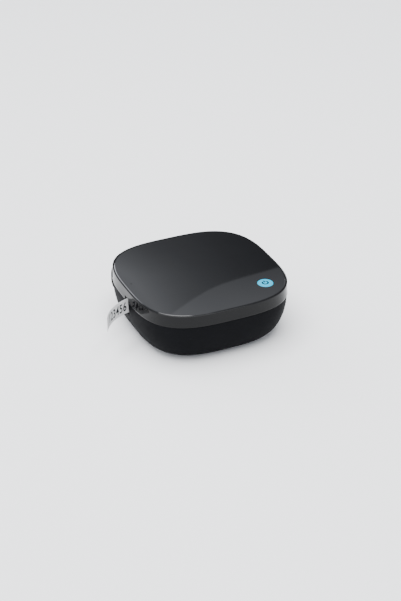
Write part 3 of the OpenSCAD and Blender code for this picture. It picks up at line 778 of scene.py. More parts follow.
def dressed(
    made: bpy.types.Object, material: bpy.types.Material, body: str, slot: str, *nodes: str
) -> bpy.types.Object:
    """Give a piece its finish and its place in the frame.

    Args:
        made: the piece.
        material: its finish.
        body: the body that it rides on.
        slot: the record's material slot; not used.
        nodes: the CAD nodes that it stands for.

    Returns:
        The piece.
    """
    made.data.materials.clear()
    made.data.materials.append(material)
    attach(made, body)
    if nodes:
        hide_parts(*nodes)
    log.info("%s: %d faces, on %s", made.name, len(made.data.polygons), body)
    return made


# ---- Body form -------------------------------------------------------------------------------------------


@dataclass(frozen=True)
class BodyForm:
    """The rounded-square plan and the levels that the base, lid and cutter share."""

    width: float = 117.0
    depth: float = 116.6
    squareness: float = 3.19
    foot_squareness: float = 3.08
    base_z: float = 0.8
    part_z: float = 31.5
    lid_z: float = 31.8
    rim_z: float = 41.3
    seat_z: float = 40.5
    shelf_z: float = 39.3
    deck_z: float = 18.6
    bowl_inset: float = 14.5
    fullness: float = 2.05
    wall: float = 2.2
    floor: float = 1.8

    def ring(self, inset: float, z: float, squareness: Optional[float] = None, points: int = RING) -> Array:
        """One level ring of the plan.

        The radius at angle t is (|cos t / a|^n + |sin t / b|^n)^(-1/n), with half sizes a and b.

        Args:
            inset: how far in it stands.
            z: its level.
            squareness: the exponent n, if not the plan's own.
            points: how many points it has.

        Returns:
            The points, anticlockwise.
        """
        return self.scaled_ring(
            self.width / 2 - inset, self.depth / 2 - inset, z, squareness or self.squareness, points
        )

    @staticmethod
    def scaled_ring(a: float, b: float, z: float, n: float, points: int = RING) -> Array:
        """One level ring with half sizes a and b and exponent n."""
        t = np.linspace(0, 2 * math.pi, points, endpoint=False)
        r = (np.abs(np.cos(t) / a) ** n + np.abs(np.sin(t) / b) ** n) ** (-1 / n)
        return np.column_stack([r * np.cos(t), r * np.sin(t), np.full(points, z)])

    def side_x(self, y: Array, inset: float) -> Array:
        """Distance from the middle to the side of the plan at each y."""
        a, b, n = self.width / 2 - inset, self.depth / 2 - inset, self.squareness
        return a * (1 - np.abs(y / b) ** n) ** (1 / n)

    def dish_ring(self, turn: float, inside: bool) -> Array:
        """One ring of the dished side, a quarter of a superellipse from the parting line down to the floor.

        At a turn of t degrees the ring stands in by inset * (1 - cos(t)^(2/m)) and lies deeper by
        height * sin(t)^(2/m).

        Args:
            turn: 0 at the parting line, 90 at the floor.
            inside: whether it is the inner face.

        Returns:
            The points.
        """
        t = math.radians(turn)
        deep = math.sin(t) ** (2 / self.fullness)
        in_by = self.bowl_inset * (1 - max(0.0, math.cos(t)) ** (2 / self.fullness))
        height = self.part_z - self.base_z - (self.floor if inside else 0)
        n = self.squareness + (self.foot_squareness - self.squareness) * deep
        return self.ring(in_by + (self.wall if inside else 0), self.part_z - height * deep, n)


FORM = BodyForm()


@dataclass
class Hinge:
    """Knuckles and pin line of the lid hinge, at the rear."""

    y: float = 57.3
    z: float = 31.9
    knuckle_r: float = 2.0
    lid_spans: tuple = ((-29, -25.3), (-16.7, -13), (13, 16.7), (25.3, 29))
    base_spans: tuple = ((-25, -17), (-12.7, 12.7), (17, 25))
    barrel_spans: tuple = ((-30.7, -29), (-25.3, -16.7), (-13, 13), (16.7, 25.3), (29, 30.7))

    def knuckle(self, span: tuple[float, float]) -> Shape:
        """One knuckle, a short rod with eased ends."""
        r, ease, length = self.knuckle_r, 0.25, span[1] - span[0]
        profile = [(0, 0), (r - ease, 0), (r, ease), (r, length - ease), (r - ease, length), (0, length)]
        return turned_to(lathe(profile, 48), TO_X, (span[0], self.y, self.z))


@dataclass
class Base:
    """Dished base with its battery bay and rubber feet."""

    form: BodyForm = FORM
    hinge: Hinge = field(default_factory=Hinge)
    rings: int = 44
    lip: float = 0.35
    bay: tuple[float, float] = (30.2, 28.2)
    bay_wall: float = 1.2
    boss: tuple[float, float] = (34.0, 38.0)
    foot: tuple[float, float] = (31.5, 33.4)
    foot_r: float = 3.6
    slot: tuple[float, float] = (-4.8, 1.4)
    pad: tuple[float, float] = (33.0, 46.0)
    pad_z: float = 24.4
    frame_top: float = 18.2
    slot_z: float = 20.6

    def corners(self, at: tuple[float, float]) -> list[tuple[float, float]]:
        """The four places that mirror one."""
        return [(sx * at[0], sy * at[1]) for sx in (-1, 1) for sy in (-1, 1)]

    def shell(self) -> Shape:
        """The dish: up its outer face, over an eased lip, and down its inner face."""
        form, lip = self.form, self.lip
        lip_turn = math.degrees(math.asin((lip / (form.part_z - form.base_z)) ** (form.fullness / 2)))
        turns = np.linspace(90, lip_turn, self.rings)
        outer = [form.dish_ring(t, False) for t in turns]
        lips = [
            form.ring(in_by, form.part_z - down)
            for in_by, down in (
                (0.03, 0.2), (0.12, 0.07), (lip, 0), (form.wall - lip, 0), (form.wall - 0.12, 0.07),
            )
        ]
        inner = [form.dish_ring(t, True) for t in turns[::-1]]
        return tube(np.stack(outer + lips + inner))

    def build(self) -> None:
        """Make the base shell and the feet."""
        form, hinge = self.form, self.hinge
        left = -form.width / 2
        bx, by = self.bay
        wall = self.bay_wall
        floor_in = form.base_z + form.floor - 0.6
        steps = [(Step.ADD, rod(3, form.deck_z - floor_in, (x, y, floor_in))) for x, y in self.corners(self.boss)]
        steps += [
            (Step.ADD, box(-bx - wall, -by - wall, floor_in, bx + wall, by + wall, self.frame_top)),
            (Step.CUT, box(-bx, -by, 0, bx, by, self.frame_top + 1)),
        ]
        for span in hinge.base_spans:
            steps.append((Step.ADD, hinge.knuckle(span)))
            steps.append((Step.ADD, box(span[0], hinge.y - 1.2, form.part_z - 3, span[1], hinge.y + 0.2, hinge.z)))
        steps += [(Step.CUT, rod(self.foot_r + 0.1, 2, (x, y, -0.6))) for x, y in self.corners(self.foot)]
        steps += [(Step.CUT, rod(1, 12, (x, y, 8))) for x, y in self.corners(self.boss)]
        top = form.part_z + 1
        steps += [
            (Step.CUT, box(left - 2, self.slot[0], self.slot_z, left + 6, self.slot[1], top)),
            (Step.CUT, box(left - 2, self.pad[0] - 0.4, self.pad_z - 0.4, left + 16, self.pad[1] + 0.4, top)),
        ]
        low = hinge.z - hinge.knuckle_r - 0.3
        rear = form.depth / 2 + 3
        for span in hinge.lid_spans:
            steps.append((Step.CUT, box(span[0] - 0.3, hinge.y - 3, low, span[1] + 0.3, rear, form.part_z + 3)))
        shell = worked("base_dish", self.shell(), steps)
        smoothed(shell)
        dressed(shell, BASE_BLACK.material(), "root", "base_black", "base_shell")
        self.feet()

    def feet(self) -> None:
        """Four rubber feet with rounded edges and a shallow dimple."""
        r, top, ease = self.foot_r, 1.4, 0.35
        turn = np.radians(np.linspace(0, 90, 6))
        edge = [(r - ease + ease * math.sin(t), ease - ease * math.cos(t)) for t in turn]
        profile = [(0, 0.25), (r * 0.3, 0.2), (r * 0.55, 0.0), *edge, (r, top), (0, top)]
        feet = [turned_to(lathe(profile), UPRIGHT, (x, y, 0)) for x, y in self.corners(self.foot)]
        made = add_shape("feet", joined(feet))
        smoothed(made)
        dressed(made, RUBBER.material(), "root", "foot_rubber", "rubber_feet")


@dataclass
class Lid:
    """Glossy lid: side band, top plate and hinge knuckles."""

    form: BodyForm = FORM
    hinge: Hinge = field(default_factory=Hinge)
    button: tuple[float, float] = (36.7, -35.3)
    bore_r: float = 5.95
    guide_bore_r: float = 2.65
    cup_r: float = 7.6
    cup_z: float = 36.0
    flare: float = 0.34
    rim_w: float = 0.75
    panel_inset: float = 1.2
    chamfer: float = 0.45
    crown: float = 0.8
    catch: tuple[float, ...] = (-6, -52.6, 34.4, 6, -51.4)
    slot: tuple[float, float, float] = (-4.8, 1.4, 35.0)
    window: tuple[float, float, float] = (32.1, 46.4, 37.8)
    pin_hole: tuple[float, float] = (-52.4, 4.1)
    band_rings: int = 14
    dome_rings: int = 64

    def band(self) -> Shape:
        """The band and its shelf: up the inner face, under the edge, up the outer face and over the rim.

        The outer face stands out at its lower edge by the flare, which fades as the square of the height left.
        """
        form, rim = self.form, self.form.rim_z - 0.25
        heights = np.linspace(form.lid_z + 0.3, rim - 0.35, self.band_rings)
        left = (rim - heights) / (rim - form.lid_z)
        profile = [(2.0, form.shelf_z), (2.0, form.lid_z + 0.2), (1.9, form.lid_z + 0.05), (1.75, form.lid_z)]
        profile += [(-self.flare + 0.3, form.lid_z), (-self.flare + 0.09, form.lid_z + 0.09)]
        profile += [(-self.flare * f * f, z) for f, z in zip(left, heights)]
        profile += [(0.06, rim - 0.12), (0.17, rim - 0.03), (0.3, rim), (self.rim_w - 0.08, rim)]
        profile += [(self.rim_w, rim - 0.08), (self.rim_w, form.seat_z)]
        return tube(np.stack([form.ring(inset, z) for inset, z in profile]))

    def shell(self) -> None:
        """Make the lid shell with its openings, cup, catch tongue and knuckles."""
        form, hinge = self.form, self.hinge
        left, rear = -form.width / 2, form.depth / 2
        x, y = self.button
        top = form.shelf_z + 0.2
        steps = [
            (Step.ADD, rod(self.cup_r, top - self.cup_z, (x, y, self.cup_z), sides=96)),
            (Step.ADD, box(*self.catch, top)),
            (Step.CUT, box(left - 2, self.slot[0], form.part_z, left + 4, *self.slot[1:])),
            (Step.CUT, box(left - 2, self.window[0], form.part_z, left + 16, *self.window[1:])),
        ]
        barrel_top = hinge.z + hinge.knuckle_r + 0.4
        for span in hinge.barrel_spans:
            steps.append((Step.CUT, box(span[0], hinge.y - 3, form.part_z, span[1], rear + 3, barrel_top)))
        for span in hinge.lid_spans:
            steps.append((Step.ADD, hinge.knuckle(span)))
            steps.append((Step.ADD, box(span[0], hinge.y - 1.4, hinge.z, span[1], rear - 0.5, hinge.z + 4)))
        steps += [
            (Step.CUT, rod(self.bore_r, 10, (x, y, self.cup_z + 1), sides=96)),
            (Step.CUT, rod(self.guide_bore_r, 4, (x, y, self.cup_z - 1))),
        ]
        made = worked("lid_band", self.band(), steps)
        smoothed(made)
        dressed(made, GLOSS_BAND.material(), "lid", "lid_gloss", "lid_shell")

    def panel(self) -> None:
        """Make the domed top plate.

        A ring at share s of the half sizes has exponent 2 + (n - 2) s, so it goes from round at the middle to the
        plan's shape at the edge, and stands crown * (1 - s^2) above the rim.
        """
        form, edge = self.form, self.chamfer
        a, b = form.width / 2 - self.panel_inset, form.depth / 2 - self.panel_inset
        side = [(0, form.seat_z), (0, form.rim_z - edge - 0.06), (0.05, form.rim_z - edge + 0.05)]
        side += [(edge - 0.05, form.rim_z - 0.06)]
        rings = [form.ring(self.panel_inset + inset, z) for inset, z in side]
        for s in np.linspace(1, 0, self.dome_rings, endpoint=False):
            n = 2 + (form.squareness - 2) * s
            z = form.rim_z + self.crown * (1 - s * s)
            rings.append(form.scaled_ring((a - edge) * s, (b - edge) * s, z, n))
        x, y = self.button
        steps = [
            (Step.CUT, rod(self.bore_r, 6, (x, y, form.seat_z - 2), sides=128)),
            (Step.CUT, rod(0.5, 2, (*self.pin_hole, form.rim_z - 0.1), sides=24)),
        ]
        made = worked("top_plate", tube(np.stack(rings)), steps)
        smoothed(made, 20)
        dressed(made, GLOSS_PANEL.material(), "lid", "panel_gloss", "top_panel")

    def build(self) -> None:
        """Make the whole lid."""
        self.shell()
        self.panel()


@dataclass
class PowerButton:
    """Lit cap with its sunk power symbol."""

    at: tuple[float, float] = (36.7, -35.3)
    radius: float = 5.8
    low: float = 39.0
    edge_z: float = 41.55
    rise: float = 0.25
    sunk: float = 0.15
    ring_r: tuple[float, float] = (1.5, 2.65)
    gap: float = 1.15
    bar: tuple[float, float, float] = (0.52, 0.4, 3.1)

    def symbol(self, z0: float, z1: float, grow: float = 0.0) -> list[Shape]:
        """Broken ring and bar between two levels; the ring runs from one side of its rear gap to the other."""
        inner, outer = self.ring_r[0] - grow, self.ring_r[1] + grow
        start = math.pi / 2 + math.asin((self.gap - grow) / 2.1)
        t = np.linspace(start, start + 2 * math.pi - 2 * (start - math.pi / 2), 72)
        arc = np.column_stack([np.cos(t), np.sin(t)])
        outline = np.vstack([outer * arc, inner * arc[::-1]]) + np.array(self.at)
        half, y0, y1 = self.bar
        x, y = self.at
        stroke = box(x - half - grow, y + y0 - grow, z0, x + half + grow, y + y1 + grow, z1)
        return [prism(outline, z0, z1), stroke]

    def build(self) -> None:
        """Make the cap and the symbol."""
        r, ease = self.radius, 0.25
        turn = np.radians(np.linspace(90, 0, 6))
        edge = [(r - ease + ease * math.sin(t), self.edge_z - ease + ease * math.cos(t)) for t in turn]
        dome = [(r * s, self.edge_z + self.rise * (1 - s * s)) for s in np.linspace(0.92, 0.08, 12)]
        profile = [(0, self.low), (r - 0.2, self.low), (r, self.low + 0.2), *edge, *dome]
        profile.append((0, self.edge_z + self.rise))
        cap_shape = turned_to(lathe(profile, 128), UPRIGHT, (*self.at, 0))
        pocket = self.symbol(self.edge_z - self.sunk, self.edge_z + 2, 0.02)
        cap = worked("button_dome", cap_shape, [(Step.CUT, shape) for shape in pocket])
        smoothed(cap, 25)
        material = SpecialFinish.lit_button(self.at, self.radius)
        dressed(cap, material, "power_button", "button_cyan", "button_cap")
        mark = self.symbol(self.edge_z - self.sunk, self.edge_z + 0.2)
        made = add_shape("button_mark", joined(mark))
        smoothed(made)
        dressed(made, TEAL.material(), "power_button", "symbol_teal", "power_symbol")


@dataclass
class CutterButton:
    """Push button of the cutter, at the left rear."""

    form: BodyForm = FORM
    y: tuple[float, float] = (33.0, 46.0)
    z: tuple[float, float] = (24.4, 37.4)
    proud: float = 1.4
    least: float = 0.15
    inset: float = 2.0
    rows: int = 29
    stem_y: tuple[float, float] = (35.0, 42.0)
    stem_z: tuple[float, float] = (25.8, 30.2)
    ramp: tuple[float, float, float] = (-47.68, 36.0, 1.6667)

    def pad(self) -> Shape:
        """The pad: level rings whose front stands out from the plan's outline by a crown in both directions.

        With u and v from -1 to 1 along and up the pad, it stands out by least + (proud - least)
        (1 - |u|^3) (1 - |v|^4).
        """
        u = np.linspace(-1, 1, self.rows)
        mid, half = sum(self.y) / 2, (self.y[1] - self.y[0]) / 2
        y = mid + half * u
        back = np.column_stack([-self.form.side_x(y, self.inset), y])
        rings = []
        for v in np.linspace(-1, 1, self.rows):
            crown = (1 - np.abs(u) ** 3) * (1 - abs(v) ** 4)
            out = self.least + (self.proud - self.least) * crown
            front = np.column_stack([-self.form.side_x(y, 0) - out, y])
            flat = np.vstack([front[::-1], back])
            z = self.z[0] + (self.z[1] - self.z[0]) * (v + 1) / 2
            rings.append(np.column_stack([flat, np.full(len(flat), z)]))
        return tube(np.stack(rings))

    def build(self) -> None:
        """Make the crowned pad and its ramped stem."""
        x0, y0, ratio = self.ramp
        ends = [x0 + (v - y0) / ratio for v in self.stem_y]
        stem = [(-53.5, self.stem_y[0]), (ends[0], self.stem_y[0]), (ends[1], self.stem_y[1])]
        stem.append((-50.5, self.stem_y[1]))
        made = worked("cutter_pad", self.pad(), [(Step.ADD, prism(stem, *self.stem_z))])
        smoothed(made)
        bevelled(made, 0.2, 3, 50)
        dressed(made, CUTTER_BLACK.material(), "cutter_button", "cutter_black", "cutter_button")


@dataclass
class Label:
    """Printed label that hangs out of the slot, with plain numerals on its front face."""

    start: tuple[float, float] = (-51.1, -1.3)
    lead: float = 1.2
    near: tuple[float, float] = (22.0, 25.0)
    straight: float = 4.0
    far: tuple[float, float] = (34.0, 40.0)
    z: tuple[float, float] = (22.0, 34.0)
    half_t: float = 0.1
    numerals: str = "123456"
    text_height: float = 7.4
    text_from: float = 8.2
    text_to: float = 30.0
    weight: float = 0.018

    def spots(self, s: Array) -> tuple[Array, Array]:
        """Points and headings along the label.

        It runs straight, bends left at the near radius, runs straight again, and bends left at the far radius. The
        heading is the sum of what has been turned, and each point adds the run along the headings before it.

        Args:
            s: distances from the start, in millimetres.

        Returns:
            Points in plan, and unit headings.
        """
        fine = np.linspace(0, self.length(), 4000)
        marks = np.cumsum([self.lead, self.arc(self.near), self.straight, self.arc(self.far)])
        turn = np.interp(fine, [0, *marks], [0, 0, self.near[1], self.near[1], self.near[1] + self.far[1]])
        heading = np.radians(180 + turn)
        step = np.gradient(fine)
        x = self.start[0] + np.cumsum(np.cos(heading) * step) - np.cos(heading[0]) * step[0]
        y = self.start[1] + np.cumsum(np.sin(heading) * step) - np.sin(heading[0]) * step[0]
        h = np.interp(s, fine, heading)
        at = np.column_stack([np.interp(s, fine, x), np.interp(s, fine, y)])
        return at, np.column_stack([np.cos(h), np.sin(h)])

    @staticmethod
    def arc(bend: tuple[float, float]) -> float:
        """Length of a bend of (radius, degrees)."""
        return bend[0] * math.radians(bend[1])

    def length(self) -> float:
        """Length of the label from end to end."""
        return self.lead + self.arc(self.near) + self.straight + self.arc(self.far)

    def strip(self) -> Shape:
        """The paper strip: its four long edges carried along the path."""
        s = np.linspace(0, self.length(), 140)
        at, heading = self.spots(s)
        side = np.column_stack([-heading[:, 1], heading[:, 0]]) * self.half_t
        z0, z1 = self.z
        rings = np.empty((len(s), 4, 3))
        for k, (sign, z) in enumerate(((-1, z0), (1, z0), (1, z1), (-1, z1))):
            rings[:, k, :2] = at + sign * side
            rings[:, k, 2] = z
        return tube(rings[:, ::-1])

    def print_mesh(self) -> bpy.types.Mesh:
        """Numerals laid on the front face and bent with it."""
        curve = bpy.data.curves.new("numerals", "FONT")
        curve.body = self.numerals
        curve.size = 1.0
        curve.offset = self.weight
        curve.space_character = 1.08
        text = add_object("numerals", curve)
        bpy.context.view_layer.update()
        mesh = bpy.data.meshes.new_from_object(text.evaluated_get(bpy.context.evaluated_depsgraph_get()))
        bpy.data.objects.remove(text)
        cut = bmesh.new()
        cut.from_mesh(mesh)
        bmesh.ops.triangulate(cut, faces=cut.faces[:])
        for _ in range(3):
            long_edges = [e for e in cut.edges if e.calc_length() > 0.12]
            bmesh.ops.subdivide_edges(cut, edges=long_edges, cuts=1, use_grid_fill=False)
            bmesh.ops.triangulate(cut, faces=cut.faces[:])
        cut.to_mesh(mesh)
        cut.free()
        co = np.empty(len(mesh.vertices) * 3)
        mesh.vertices.foreach_get("co", co)
        co = co.reshape(-1, 3)
        low, high = co.min(0), co.max(0)
        share = (co - low) / (high - low + 1e-12)
        s = self.text_to - share[:, 0] * (self.text_to - self.text_from)
        z = sum(self.z) / 2 + (share[:, 1] - 0.5) * self.text_height
        at, heading = self.spots(s)
        side = np.column_stack([-heading[:, 1], heading[:, 0]]) * (self.half_t + 0.012)
        placed = np.column_stack([at + side, z]) * MM
        mesh.vertices.foreach_set("co", placed.ravel())
        mesh.update()
        return mesh

    def build(self) -> None:
        """Make the strip and its printing."""
        strip = add_shape("label_strip", self.strip())
        smoothed(strip, 40)
        dressed(strip, PAPER.material(), "root", "label_paper", "printed_label")
        ink = add_object("label_numerals", self.print_mesh())
        film = ink.modifiers.new("film", "SOLIDIFY")
        film.thickness = 0.01 * MM
        film.offset = -1.0
        dressed(ink, INK.material(), "root", "label_paper")


@dataclass
class Coil:
    """A wound spring."""

    radius: float
    wire: float
    length: float
    turns: float
    end_radius: Optional[float] = None
    dead: float = 0.75

    def shape(self, columns: Sequence[Sequence[float]], at: Sequence[float]) -> Shape:
        """The spring's wire, a round section carried along a helix whose first and last turns lie nearly flat.

        Args:
            columns: where its X, Y and Z axes go.
            at: where its first end stands.

        Returns:
            The shape.
        """
        sides, steps = 10, int(40 * self.turns)
        s = np.linspace(0, 1, steps + 1)
        turn = 2 * math.pi * self.turns * s
        end = self.radius if self.end_radius is None else self.end_radius
        r = self.radius + (end - self.radius) * s
        flat = self.dead / self.turns
        rise = np.interp(s, [0, flat, 1 - flat, 1], [0, 0.06, 0.94, 1])
        z = self.wire + (self.length - 2 * self.wire) * rise
        out = np.column_stack([np.cos(turn), np.sin(turn), np.zeros_like(turn)])
        centre = np.column_stack([r * out[:, 0], r * out[:, 1], z])
        b = np.linspace(0, 2 * math.pi, sides, endpoint=False)
        rings = (
            centre[:, None]
            + self.wire * np.cos(b)[None, :, None] * out[:, None]
            + self.wire * np.sin(b)[None, :, None] * np.array([0, 0, 1.0])
        )
        return turned_to(tube(rings[:, ::-1]), columns, at)


@dataclass
class Cells:
    """Four AA cells side by side, alternate ends forward, with their springs."""

    radius: float = 7.25
    pitch: float = 14.8
    can: float = 49.2
    nub: float = 1.3
    z: float = 10.9
    y0: float = -22.7
    bay_y: float = 28.2
    contact: float = 0.4

    def across(self) -> list[tuple[float, float]]:
        """Each cell's place and which way it points."""
        return [((i - 1.5) * self.pitch, -1.0 if i % 2 else 1.0) for i in range(4)]

    def columns(self, way: float) -> tuple[tuple[float, float, float], ...]:
        """Axes that point a lathe's Z along the cell."""
        return ((0, 0, 1), (way, 0, 0), (0, way, 0))

    def build(self) -> None:
        """Make the cells, with crimped ends, and their cone springs."""
        r, can, nub = self.radius, self.can, self.nub
        profile = [
            (0, 0.25), (r * 0.55, 0.25), (r * 0.6, 0.0), (r - 0.7, 0.0), (r - 0.2, 0.18), (r, 0.7), (r, can - 1.0),
            (r - 0.12, can - 0.5), (r - 0.5, can - 0.12), (r - 1.1, can), (r - 1.5, can - 0.35),
            (r - 2.0, can - 0.35), (2.75, can - 0.2), (2.75, can + nub - 0.35), (2.45, can + nub), (0, can + nub),
        ]
        shapes, along = [], []
        for x, way in self.across():
            shape = lathe(profile, 64)
            along.append(shape[0][:, 2] / ((can + nub) * MM))
            shapes.append(turned_to(shape, self.columns(way), (x, way * self.y0, self.z)))
        made = add_shape("cells", joined(shapes))
        mark = made.data.attributes.new("along", "FLOAT", "POINT")
        mark.data.foreach_set("value", np.concatenate(along).astype(np.float32))
        smoothed(made)
        dressed(made, SpecialFinish.cell_jacket(), "root", "cell_jacket", "aa_batteries")
        coil = Coil(4.2, 0.3, self.bay_y - self.contact + self.y0, 3, 2.4)
        front = self.contact - self.bay_y
        springs = [coil.shape(self.columns(way), (x, way * front, self.z)) for x, way in self.across()]
        wires = add_shape("cell_springs", joined(springs))
        smoothed(wires, 60)
        dressed(wires, WIRE.material(), "root", "spring_steel", "battery_springs")


def other_springs() -> None:
    """Make the springs of the button, the cutter and the print head."""
    rows = (
        ("button_spring", Coil(4.2, 0.2, 2, 3), UPRIGHT, (36.7, -35.3, 37.0), "lid", "power_press", 0.8),
        ("cutter_spring", Coil(1.0, 0.2, 12.2, 8), TO_Y, (-46.2, 13.8, 28.6), "root", "blade_slide", 4.01),
        ("head_spring", Coil(1.2, 0.2, 7.7, 5), TO_Y, (-43, -11.8, 28), "root", "head_retract", 1.21),
    )
    for node, coil, columns, at, body, joint, travel in rows:
        made = add_shape(node + "_coil", coil.shape(columns, at))
        smoothed(made, 60)
        dressed(made, WIRE.material(), body, "spring_steel", node)
        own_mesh(made)


@dataclass(frozen=True)
class CarriedNode:
    """A CAD node kept in its own shape, with its edges eased and a better finish."""

    node: str
    finish: Union[Finish, Callable[[], bpy.types.Material]]
    ease: float = 0.15

    def build(self) -> None:
        """Merge a copy of the node's triangles into faces, round its edges and dress it."""
        mesh = frame["nodes"][self.node].data.copy()
        work = bmesh.new()
        work.from_mesh(mesh)
        bmesh.ops.remove_doubles(work, verts=work.verts[:], dist=MERGE)
        bmesh.ops.dissolve_limit(
            work,
            angle_limit=math.radians(FLAT_ANGLE),
            use_dissolve_boundaries=False,
            verts=work.verts[:],
            edges=work.edges[:],
        )
        work.to_mesh(mesh)
        work.free()
        made = add_object(self.node + "_part", mesh)
        for name in [a.name for a in mesh.attributes if a.name == "custom_normal"]:
            mesh.attributes.remove(mesh.attributes[name])
        smoothed(made, CARRIED_SHARP)
        if self.ease:
            bevelled(made, self.ease, 2, CARRIED_EASED)
        material = self.finish.material() if isinstance(self.finish, Finish) else self.finish()
        dressed(made, material, self.body(), self.slot(), self.node)

    def body(self) -> str:
        """The body that the node is in."""
        bodies = frame["record"]["behaviour"]["bodies"]
        return next(name for name, nodes in bodies.items() if self.node in nodes)

    def slot(self) -> str:
        """The node's material slot in the record."""
        return next(p["material_slot"] for p in frame["record"]["subparts"] if p["node"] == self.node)


CARRIED = (
    CarriedNode("battery_cover", BASE_BLACK, 0.25),
    CarriedNode("chassis", DECK, 0.12),
    CarriedNode("chassis_screws", ZINC, 0.06),
    CarriedNode("inner_cover", INNER, 0.2),
    CarriedNode("cassette_well", INNER, 0.15),
    CarriedNode("cover_screws", ZINC, 0.06),
    CarriedNode("battery_contacts", NICKEL, 0.05),
    CarriedNode("step_motor", MOTOR_CAN, 0.15),
    CarriedNode("motor_screws", ZINC, 0.05),
    CarriedNode("motor_shaft", STEEL, 0.06),
    CarriedNode("drive_pinion", BRASS, 0.03),
    CarriedNode("idler_axles", STEEL, 0.06),
    CarriedNode("stepped_idler", WHITE_GEAR, 0.03),
    CarriedNode("plain_idler", WHITE_GEAR, 0.03),
    CarriedNode("gear_plate", PLATE, 0.08),
    CarriedNode("gear_plate_screws", ZINC, 0.05),
    CarriedNode("platen_gear", WHITE_GEAR, 0.03),
    CarriedNode("platen_shaft", STEEL, 0.08),
    CarriedNode("platen_roller", ROLLER, 0.1),
    CarriedNode("head_carrier", ALUMINIUM, 0.06),
    CarriedNode("thermal_head", lambda: SpecialFinish.head_ceramic(-46.4, -39.6), 0.06),
    CarriedNode("head_flex", FLEX, 0.0),
    CarriedNode("outlet_guide", INNER, 0.12),
    CarriedNode("cutter_carriage", WHITE_GEAR, 0.12),
    CarriedNode("cutter_blade", BLADE, 0.03),
    CarriedNode("blade_rivets", STEEL, 0.05),
    CarriedNode("cassette_body", SHELL_GREY, 0.15),
    CarriedNode("cassette_cover", SHELL_LIGHT, 0.2),
    CarriedNode("tape_core", CORE, 0.12),
    CarriedNode("tape_roll", lambda: SpecialFinish.wound_tape((6, -1), 6), 0.08),
    CarriedNode("tape_strand", PAPER, 0.0),
    CarriedNode("main_board", SpecialFinish.circuit_board, 0.05),
    CarriedNode("board_screws", ZINC, 0.05),
    CarriedNode("processor_chip", CHIP, 0.08),
    CarriedNode("radio_module", TIN, 0.08),
    CarriedNode("tact_switch", CHIP, 0.08),
    CarriedNode("power_led", SpecialFinish.lamp, 0.08),
    CarriedNode("board_connectors", IVORY, 0.08),
    CarriedNode("hinge_pins", STEEL, 0.1),
    CarriedNode("light_guide", SpecialFinish.clear_guide, 0.12),
    CarriedNode("button_clip", STEEL, 0.05),
)


# ---- Studio ----------------------------------------------------------------------------------------------


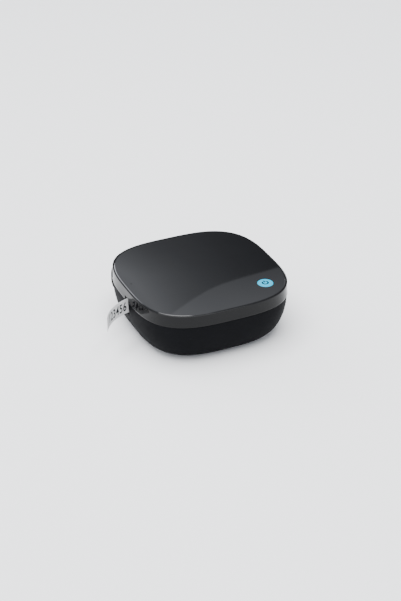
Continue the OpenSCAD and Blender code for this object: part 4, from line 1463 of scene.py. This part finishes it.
@dataclass
class Studio:
    """Floor, light and camera."""

    target: tuple[float, float, float] = (0.0, 0.0, 41.3)
    back: tuple[float, float, float] = (-0.35850, -0.78298, 0.50835)
    right: tuple[float, float, float] = (0.90922, -0.41631, 0.0)
    up: tuple[float, float, float] = (0.21163, 0.46220, 0.86115)
    distance: float = 1217.8
    shift: tuple[float, float] = (0.995, -21.17)
    lens: float = 99.2
    floor_size: float = 12.0
    left_axis: tuple[float, float, float] = (-0.885, 0.125, 0.449)
    left_from: float = 0.0637
    left_gain: float = 20.0
    left_scale: float = 1.12
    left_held: tuple[float, float] = (0.06, 1.15)
    box_edge: tuple[tuple[float, float], ...] = ((29.17, 28.18), (23.55, 33.08))
    box_blur: tuple[float, float] = (-0.0008, 0.0014)
    box_power: tuple[float, float] = (0.34, 0.45)
    box_reach: float = 0.09
    glow_at: tuple[float, float] = (-20.0, 6.0)
    glow_span: tuple[float, float] = (0.82, 0.94)
    glow_power: float = 5.0
    tint: tuple[float, float, float] = (0.95, 0.98, 1.04)
    lamp_at: tuple[float, float, float] = (-0.2, -0.1, 1.6)
    lamp_size: float = 1.6
    lamp_power: float = 56.0

    def camera(self) -> None:
        """Place the camera at its distance along the view, raised and moved so that the object sits as wanted."""
        axes = np.array([self.right, self.up, self.back])
        axes /= np.linalg.norm(axes, axis=1)[:, None]
        at = np.array(self.target) + axes[2] * self.distance + axes[0] * self.shift[0] + axes[1] * self.shift[1]
        data = bpy.data.cameras.new("camera")
        data.lens = self.lens
        data.sensor_width = data.sensor_height = 36.0
        data.sensor_fit = "AUTO"
        made = add_object("camera", data)
        pose = np.eye(4)
        pose[:3, :3] = axes.T
        pose[:3, 3] = at * MM
        made.matrix_world = Matrix(pose.tolist())
        bpy.context.scene.camera = made

    def floor(self) -> None:
        """Plain pale floor."""
        half = self.floor_size / 2
        corners = np.array([(-half, -half, 0), (half, -half, 0), (half, half, 0), (-half, half, 0)])
        made = add_shape("floor", (corners, [[0, 1, 2, 3]]))
        material, shader = SpecialFinish.start("pale_floor")
        shader.principled(Base_Color=(0.86, 0.86, 0.86), Roughness=0.9, Specular_IOR_Level=0.0)
        made.data.materials.append(material)

    def world(self) -> None:
        """Studio surroundings: bright on the left, dim on the right, and a soft box high behind on the right.

        The left brightness is left_scale * exp(left_gain * (t - left_from)), held between two limits, where t is
        the share of the direction that points along left_axis. The soft box is where a direction lies above a
        slanting edge, and it grows brighter away from that edge. A glow stands low behind, a little to the left.
        """
        world = bpy.data.worlds.new("studio")
        world.use_nodes = True
        bpy.context.scene.world = world
        shader = Shader(world.node_tree)
        way = shader.node("ShaderNodeTexCoord", out="Generated")
        gradient = (self.dot(shader, way, self.left_axis) - self.left_from) * self.left_gain
        left = gradient.math("EXPONENT", gradient) * self.left_scale
        left = left.math("MINIMUM", left, self.left_held[1])
        left = left.math("MAXIMUM", left, self.left_held[0])
        beyond = self.dot(shader, way, self.soft_box_edge())
        least, more = self.box_power
        box_light = beyond.ramp(*self.box_blur) * (least + beyond.ramp(0.0, self.box_reach) * more)
        glow = self.dot(shader, way, tuple(self.direction(*self.glow_at))).ramp(*self.glow_span) * self.glow_power
        strength = left + box_light + glow
        background = shader.node("ShaderNodeBackground", inputs={"Color": self.tint, "Strength": strength})
        shader.node("ShaderNodeOutputWorld", inputs={"Surface": background})

    @staticmethod
    def direction(azimuth: float, elevation: float) -> Array:
        """Unit direction at an azimuth from +Y towards +X and an elevation."""
        a, e = math.radians(azimuth), math.radians(elevation)
        return np.array([math.cos(e) * math.sin(a), math.cos(e) * math.cos(a), math.sin(e)])

    def soft_box_edge(self) -> tuple[float, float, float]:
        """Normal of the plane through the eye that holds the soft box's lower edge, pointing into the box."""
        first, second = self.box_edge
        normal = np.cross(self.direction(*first), self.direction(*second))
        normal /= np.linalg.norm(normal)
        if normal[2] < 0:
            normal = -normal
        return tuple(float(v) for v in normal)

    @staticmethod
    def dot(shader: Shader, vector: Link, other: Sequence[float]) -> Link:
        """Dot product of a vector with a fixed one."""
        return shader.node("ShaderNodeVectorMath", {"operation": "DOT_PRODUCT"}, {0: vector, 1: other}, out="Value")

    def lamp(self, name: str) -> None:
        """Square soft lamp that points at the object; its place and size are in metres."""
        data = bpy.data.lights.new(name, "AREA")
        data.shape = "SQUARE"
        data.size = self.lamp_size
        data.energy = self.lamp_power
        made = add_object(name, data)
        made.location = self.lamp_at
        made.rotation_euler = Vector(self.lamp_at).to_track_quat("Z", "Y").to_euler()

    def build(self) -> None:
        """Make the whole studio."""
        self.camera()
        self.floor()
        self.world()
        self.lamp("overhead")


def main() -> None:
    """Build every piece in order."""
    Studio().build()
    Base().build()
    Lid().build()
    PowerButton().build()
    CutterButton().build()
    Label().build()
    Cells().build()
    other_springs()
    for carried in CARRIED:
        carried.build()


if __name__ == "__main__":
    main()
